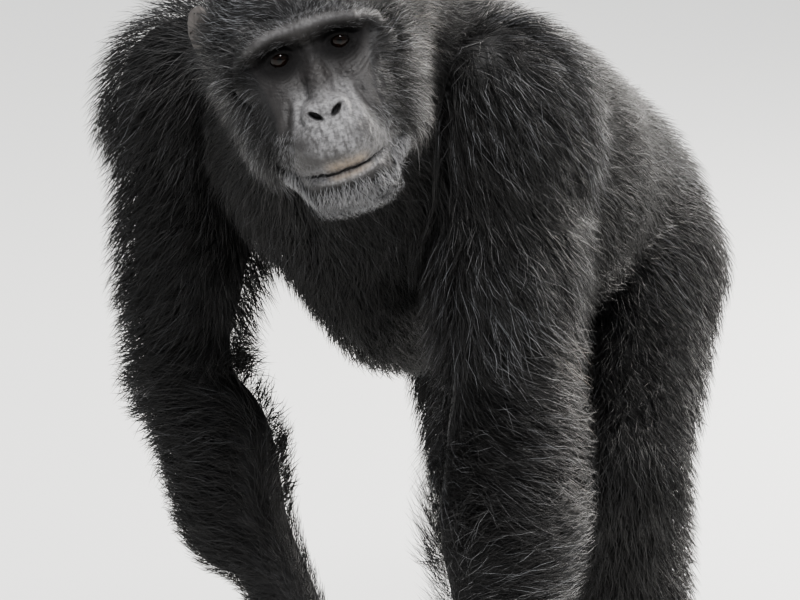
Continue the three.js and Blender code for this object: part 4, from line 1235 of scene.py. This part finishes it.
def shortHairArea(name, h):
    x, y, z = np.abs(h[:, 0]), h[:, 1], h[:, 2]
    if name == "muzzle":
        lips = 1 - 0.85 * bell(z - mouthLine(h) - 2, 6) * fade(x, 14, 30)
        return smooth(-z, 50, 58) * fade(-z, 98, 104) * fade(x, 44, 56) * smooth(y, 0, 14) * lips
    if name == "beard":
        jaw = smooth(-z, 82, 96) * smooth(x, 36, 46)
        start = 0.85 * smooth(-z, 103, 124) + 0.15 * smooth(-z, 100, 104)
        return np.maximum(jaw, start) * smooth(y, -28, -8) * fade(x, 50, 60)
    crest = 27 - coat["browDrop"] * x**2
    return bell(z - crest, 8) * fade(x, 50, 60) * smooth(y, -14, -4)


def shortHairLie(name, h):
    out, ahead, up = shortLies[name]
    return columns(out * (h[:, 0] / 40), ahead, up) @ headTurn.T


def buildShortHair(places):
    made = []
    middle = toHead(places.middle)
    near = faceBox(middle, -40, 70, -140, 50)
    for name, piece in shortHair.items():
        roots = places.draw(piece["density"] * near * shortHairArea(name, middle), piece["seed"])
        count = len(roots["root"])
        size = {
            "length": np.full(count, piece["length"]), "width": piece["width"],
            "depth": np.full(count, piece["rise"]),
        }
        lie = shortHairLie(name, toHead(roots["root"]))
        colour = {"grey": np.full(count, piece["pale"]), "tanAndSheen": np.full(count, shortHabit["tanAndSheen"])}
        made.append(growTufts(f"hair_{name}", roots, size, lie, piece["seed"], colour, shortHabit))
        print(name, "hairs", count)
    return made


places = Places(skin.data)
coats = buildCoat(places) + buildShortHair(places)
print("coat done")


# Sockets of shader nodes that add, multiply and mix as numbers do
class Socket:
    def __init__(self, tree, link):
        self.tree, self.link = tree, link

    def node(self, kind, settings=None, **values):
        made = self.tree.nodes.new(kind)
        for key, value in (settings or {}).items():
            setattr(made, key, value)
        for key, value in values.items():
            self.feed(made.inputs[key if key in made.inputs else int(key[1:])], value)
        return made

    def feed(self, socket, value):
        if isinstance(value, Socket):
            self.tree.links.new(value.link, socket)
        else:
            socket.default_value = value

    def maths(self, operation, a, b):
        made = self.node("ShaderNodeMath", {"operation": operation}, i0=a, i1=b)
        return Socket(self.tree, made.outputs[0])

    def __add__(self, other):
        return self.maths("ADD", self, other)

    def __radd__(self, other):
        return self.maths("ADD", other, self)

    def __sub__(self, other):
        return self.maths("SUBTRACT", self, other)

    def __rsub__(self, other):
        return self.maths("SUBTRACT", other, self)

    def __mul__(self, other):
        return self.maths("MULTIPLY", self, other)

    def __rmul__(self, other):
        return self.maths("MULTIPLY", other, self)


class Paint:
    def __init__(self, name):
        self.material = bpy.data.materials.new(name)
        self.material.use_nodes = True
        self.tree = self.material.node_tree
        self.shader = self.tree.nodes["Principled BSDF"]
        self.start = Socket(self.tree, None)

    def output(self, kind, socket, settings=None, **values):
        return Socket(self.tree, self.start.node(kind, settings, **values).outputs[socket])

    def attribute(self, name):
        return self.output("ShaderNodeAttribute", "Fac", {"attribute_name": name})

    def place(self):
        return self.output("ShaderNodeTexCoord", "Object")

    def noise(self, scale, detail=3.0, roughness=0.5):
        return self.output(
            "ShaderNodeTexNoise", "Fac", Vector=self.place(), Scale=scale, Detail=detail, Roughness=roughness
        )

    def cells(self, scale):
        return self.output(
            "ShaderNodeTexVoronoi", "Distance", {"feature": "F1"}, Vector=self.place(), Scale=scale
        )

    def between(self, value, low, high):
        return self.output("ShaderNodeMapRange", "Result", {"clamp": True}, Value=value, i1=low, i2=high)

    def mix(self, share, a, b):
        made = self.start.node("ShaderNodeMix", {"data_type": "RGBA"})
        for socket, value in ((made.inputs["Factor"], share), (made.inputs[6], a), (made.inputs[7], b)):
            self.start.feed(socket, (*value, 1) if isinstance(value, tuple) else value)
        return Socket(self.tree, made.outputs[2])

    def bump(self, height, strength, distance):
        return self.output("ShaderNodeBump", "Normal", Height=height, Strength=strength, Distance=distance)

    def set(self, **values):
        for name, value in values.items():
            socket = self.shader.inputs[name.replace("_", " ")]
            self.start.feed(socket, (*value, 1) if isinstance(value, tuple) and len(value) == 3 else value)
        return self.material


# the tan colour also paints a sheen on the left arm's outer edge
hair = {
    "black": (0.005, 0.005, 0.0053), "brown": (0.016, 0.0145, 0.0138), "silverAndSheen": (0.34, 0.345, 0.36),
    "tanAndSheen": (0.31, 0.27, 0.235), "rootShare": 0.3, "roughness": 0.5, "gloss": 0.55,
}


def hairPaint():
    paint = Paint("hair")
    shade, grey, along, tanAndSheen = (paint.attribute(name) for name in ("shade", "grey", "along", "tanAndSheen"))
    dark = paint.mix(shade * 0.8 + along * 0.2, hair["black"], hair["brown"])
    # pale hairs are silver or tan; the tan on the left arm's outer edge is a painted sheen
    light = paint.mix(tanAndSheen, hair["silverAndSheen"], hair["tanAndSheen"])
    pale = paint.between(grey - shade, -0.04, 0.14) * (hair["rootShare"] + (1 - hair["rootShare"]) * along)
    colour = paint.mix(pale, dark, light)
    return paint.set(Base_Color=colour, Roughness=hair["roughness"], Specular_IOR_Level=hair["gloss"])


# the darkest flesh colour is a painted shade for the creases, the eye sockets and the chin under the lower
# lip
flesh = {
    "underCoat": (0.012, 0.011, 0.011), "face": (0.036, 0.033, 0.032), "muzzle": (0.215, 0.21, 0.212),
    "lips": (0.23, 0.185, 0.14), "paintedShade": (0.007, 0.006, 0.006), "palm": (0.024, 0.0205, 0.019),
    "coatTint": 0.12, "roughness": 0.44, "gloss": 0.42, "poreDepth": 0.0009, "poreStrength": 0.5,
}
earSkin = {"dark": (0.08, 0.071, 0.067), "pale": (0.2, 0.182, 0.17), "rim": (0.05, 0.043, 0.04)}
horn = {"dark": (0.022, 0.018, 0.016), "pale": (0.07, 0.058, 0.048)}
eyeball = {
    "pupil": (0.001, 0.001, 0.001), "white": (0.008, 0.006, 0.005), "irisDark": (0.004, 0.002, 0.0015),
    "irisPale": (0.016, 0.0075, 0.004), "pupilEdge": (0.17, 0.2), "irisEdge": (0.42, 0.5),
}


def skinPaint():
    paint = Paint("skin")
    bare, muzzlePaleAndBrowHighlight, lips, paintedShade, creaseShade, palm = (
        paint.attribute(name) for name in ("bare", "muzzle", "lips", "paintedShade", "creaseShade", "palm")
    )
    speck = paint.noise(330.0, 6.0, 0.62)
    blotch = paint.noise(70.0, 3.0, 0.5)
    coatLight = paint.mix(paint.attribute("tanAndSheen"), hair["silverAndSheen"], hair["tanAndSheen"])
    colour = paint.mix(paint.attribute("grey") * flesh["coatTint"], flesh["underCoat"], coatLight)
    colour = paint.mix(palm, colour, flesh["palm"])
    colour = paint.mix(bare * (0.7 + 0.6 * (blotch - 0.25)), colour, flesh["face"])
    stipple = paint.between(speck, 0.36, 0.62)
    # the muzzle's own pale, and a painted highlight along the brow crest
    colour = paint.mix(muzzlePaleAndBrowHighlight * (0.3 + 0.7 * stipple), colour, flesh["muzzle"])
    colour = paint.mix(lips * (0.45 + 0.55 * stipple), colour, flesh["lips"])
    # painted shade: creases, folds, the mouth line and the nostrils are darkened
    colour = paint.mix(paint.between(creaseShade, 0.0, 2.2) * 0.8, colour, flesh["paintedShade"])
    # painted shade in the eye sockets and under the lower lip
    colour = paint.mix(paintedShade * 0.9, colour, flesh["paintedShade"])
    pores = paint.noise(1100.0, 4.0, 0.6) + 0.7 * paint.cells(520.0) + 0.8 * paint.noise(260.0, 2.0, 0.5)
    pores = pores + palm * 2.4 * paint.cells(210.0) + palm * 2 * paint.noise(70.0, 4.0, 0.6)
    roughness = flesh["roughness"] + 0.22 * speck + 0.34 * paintedShade
    bump = paint.bump(pores, flesh["poreStrength"], flesh["poreDepth"])
    return paint.set(Base_Color=colour, Roughness=roughness, Normal=bump, Specular_IOR_Level=flesh["gloss"])


def earPaint():
    paint = Paint("ear")
    blotch = paint.noise(120.0, 5.0, 0.6)
    colour = paint.mix(blotch, earSkin["dark"], earSkin["pale"])
    colour = paint.mix(paint.attribute("rim") * 0.7, colour, earSkin["rim"])
    pores = paint.noise(900.0, 4.0, 0.6)
    return paint.set(Base_Color=colour, Roughness=0.5 + 0.2 * blotch, Normal=paint.bump(pores, 0.4, 0.0008))


def nailPaint():
    paint = Paint("nail")
    ridges = paint.noise(420.0, 3.0, 0.6)
    colour = paint.mix(ridges, horn["dark"], horn["pale"])
    return paint.set(Base_Color=colour, Roughness=0.3 + 0.25 * ridges, Normal=paint.bump(ridges, 0.3, 0.0005))


def eyePaint():
    paint = Paint("eye")
    centred = paint.attribute("centred")
    streaks = paint.noise(700.0, 2.0, 0.5)
    iris = paint.mix(streaks, eyeball["irisDark"], eyeball["irisPale"])
    colour = paint.mix(paint.between(centred, *eyeball["irisEdge"]), iris, eyeball["white"])
    colour = paint.mix(paint.between(centred, *eyeball["pupilEdge"]), eyeball["pupil"], colour)
    return paint.set(
        Base_Color=colour, Roughness=0.12, Specular_IOR_Level=0.15, Coat_Weight=0.3, Coat_Roughness=0.02
    )


# The skin's markings: the coat's own, and where it is bare, pale or tan on the lips; the eye sockets and the
# chin under the lower lip get a painted shade, and the brow crest a painted highlight
def markSkin():
    p = fromFrame(getPoints(skin.data))
    h = toHead(p)
    x, y, z = np.abs(h[:, 0]), h[:, 1], h[:, 2]
    share = partShares(partDistances(p))
    hairless = fade(coatDepth(p, share), 1, 9)
    bare = share["head"] * hairless
    off = z - mouthLine(h)

    edge = np.interp(z, muzzle["levels"], muzzle["widths"])
    pale = fade(x - edge, -4, 3) * smooth(-z, 20, 40) * smooth(y, 8, 24)
    # below the lower lip the pale is taken away, a painted shade; a band above the upper lip is made less
    # pale too
    lipShade = 0.75 * bell(off - 14, 7) * smooth(h[:, 0], -24, 4) + 0.95 * smooth(-off, 6, 10)
    aside = 0.5 * smooth(x, 12, 30) * smooth(-z, 46, 62) + 0.35 * bell(z + 66, 6) * smooth(x, 8, 20)
    streaks = waves(h * vec(1, 0.1, 0.14), 3.2, 98) * smooth(-z, 50, 58) * fade(x, 12, 26)
    pale = pale * (1 - np.clip(lipShade + aside, 0, 0.9)) * np.clip(1 + 0.3 * streaks, 0, 1.4)
    # a pale band along the brow crest: a painted highlight
    brow = 0.34 * bell(z - 26 + coat["browDrop"] * x**2, 4) * fade(x, 50, 58) * (y > -15)

    lips = (bell(off - 6, 4.6) + 0.8 * bell(off + 3.4, 2.2)) * fade(np.abs(h[:, 0] + 4), 10, 24) * (y > 20)
    # the eye sockets are darkened: painted shade
    sockets = fade(np.hypot((x - 28) / 28, (z - 3) / 21), 0.55, 1.2) * smooth(28 - z, -2, 6) * (y > -20)
    # the chin under the lower lip is darkened: painted shade
    chin = 0.6 * smooth(-off, 7, 13) * fade(x, 34, 48) * (y > 0)

    marks = {
        "grey": silverAndSheen(p, share), "tanAndSheen": tanAndSheenShare(p, share), "bare": bare,
        # the muzzle mark also carries the brow's painted highlight
        "muzzle": bare * np.maximum(pale, brow), "lips": bare * np.clip(lips, 0, 1),
        "paintedShade": share["head"] * np.maximum(sockets, chin), "palm": np.where(p[:, 2] < handTop, hairless, 0),
    }
    for name, values in marks.items():
        addAttribute(skin.data, name, values)


markSkin()
skin.data.uv_layers.active.name = "OFBake"
paints = {"hair": hairPaint(), "skin": skinPaint(), "ear": earPaint(), "nail": nailPaint(), "eye": eyePaint()}


# What each piece is made of, rides on and stands for
def place(piece, paint, slot, *nodes):
    piece.data.materials.clear()
    piece.data.materials.append(paints[paint])
    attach(piece, "root")
    if nodes:
        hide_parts(*nodes)


fleshNodes = [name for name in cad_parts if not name.startswith(("eye_", "ear_"))]
place(skin, "skin", "face", *fleshNodes)
for piece in coats:
    place(piece, "hair", "coat")
place(nails, "nail", "skin")
for side in limbs:
    place(ears[side], "ear", "ear", f"ear_{side}")
    place(eyeballs[side], "eye", "eye", f"eye_{side}")


# Floor, light and camera
stage = {
    "floor": (0.7, 0.7, 0.69), "floorSize": 60,
    "azimuth": 21, "elevation": 11, "distance": 8.5, "middle": (-27, 457.3), "headScale": 1190,
    "frameWide": 800, "sensor": 36, "farthest": 200, "look": "AgX - Medium High Contrast",
}


def buildFloor():
    shape = bmesh.new()
    bmesh.ops.create_grid(shape, x_segments=1, y_segments=1, size=stage["floorSize"] / 2)
    floor = fromBmesh("floor", shape)
    floor.data.materials.append(Paint("floor").set(Base_Color=stage["floor"], Roughness=0.9))


def viewAxes():
    a, e = math.radians(stage["azimuth"]), math.radians(stage["elevation"])
    across = vec(math.cos(a), math.sin(a), 0)
    toward = vec(math.sin(a) * math.cos(e), -math.cos(a) * math.cos(e), math.sin(e))
    return across, toward, np.cross(toward, across)


def buildCamera():
    across, toward, upward = viewAxes()
    right, up = stage["middle"]
    spot = across * right + upward * up + toward * stage["distance"] / mm
    headAway = stage["distance"] - eyesMiddle @ toward * mm
    data = bpy.data.cameras.new("camera")
    data.sensor_width = stage["sensor"]
    data.lens = stage["headScale"] * headAway / stage["frameWide"] * data.sensor_width
    data.clip_end = stage["farthest"]
    camera = bpy.data.objects.new("camera", data)
    bpy.context.scene.collection.objects.link(camera)
    turn = np.stack([across, upward, toward], axis=1)
    camera.matrix_world = Matrix.Translation(Vector(toFrame(spot))) @ Matrix(turn.tolist()).to_4x4()
    bpy.context.scene.camera = camera


lights = {
    "top": {"kind": "SUN", "from": (0.15, -0.4, 1.6), "power": 3.6, "colour": (1, 0.99, 0.97), "angle": 40},
    "key": {"kind": "AREA", "from": (1.2, -2.6, 3.2), "power": 85, "colour": (0.97, 0.98, 1), "size": 0.8},
    "rim": {"kind": "AREA", "from": (1.6, 2.7, 1.8), "power": 280, "colour": (1, 0.97, 0.93), "size": 1.6},
}
sky = {"colour": (0.86, 0.92, 1), "strength": 0.3}


lightAim = (0, -0.25, 0.5)


def buildLights():
    aim = Vector(lightAim)
    for name, light in lights.items():
        data = bpy.data.lights.new(name, light["kind"])
        data.energy, data.color = light["power"], light["colour"]
        if light["kind"] == "SUN":
            data.angle = math.radians(light["angle"])
        else:
            data.size = light["size"]
        lamp = bpy.data.objects.new(name, data)
        bpy.context.scene.collection.objects.link(lamp)
        lamp.location = Vector(light["from"])
        lamp.rotation_euler = (aim - lamp.location).to_track_quat("-Z", "Y").to_euler()
    world = bpy.data.worlds.new("world")
    world.use_nodes = True
    background = world.node_tree.nodes["Background"]
    background.inputs["Color"].default_value = (*sky["colour"], 1)
    background.inputs["Strength"].default_value = sky["strength"]
    bpy.context.scene.world = world


buildFloor()
buildCamera()
buildLights()
bpy.context.scene.view_settings.look = stage["look"]
print("stage")
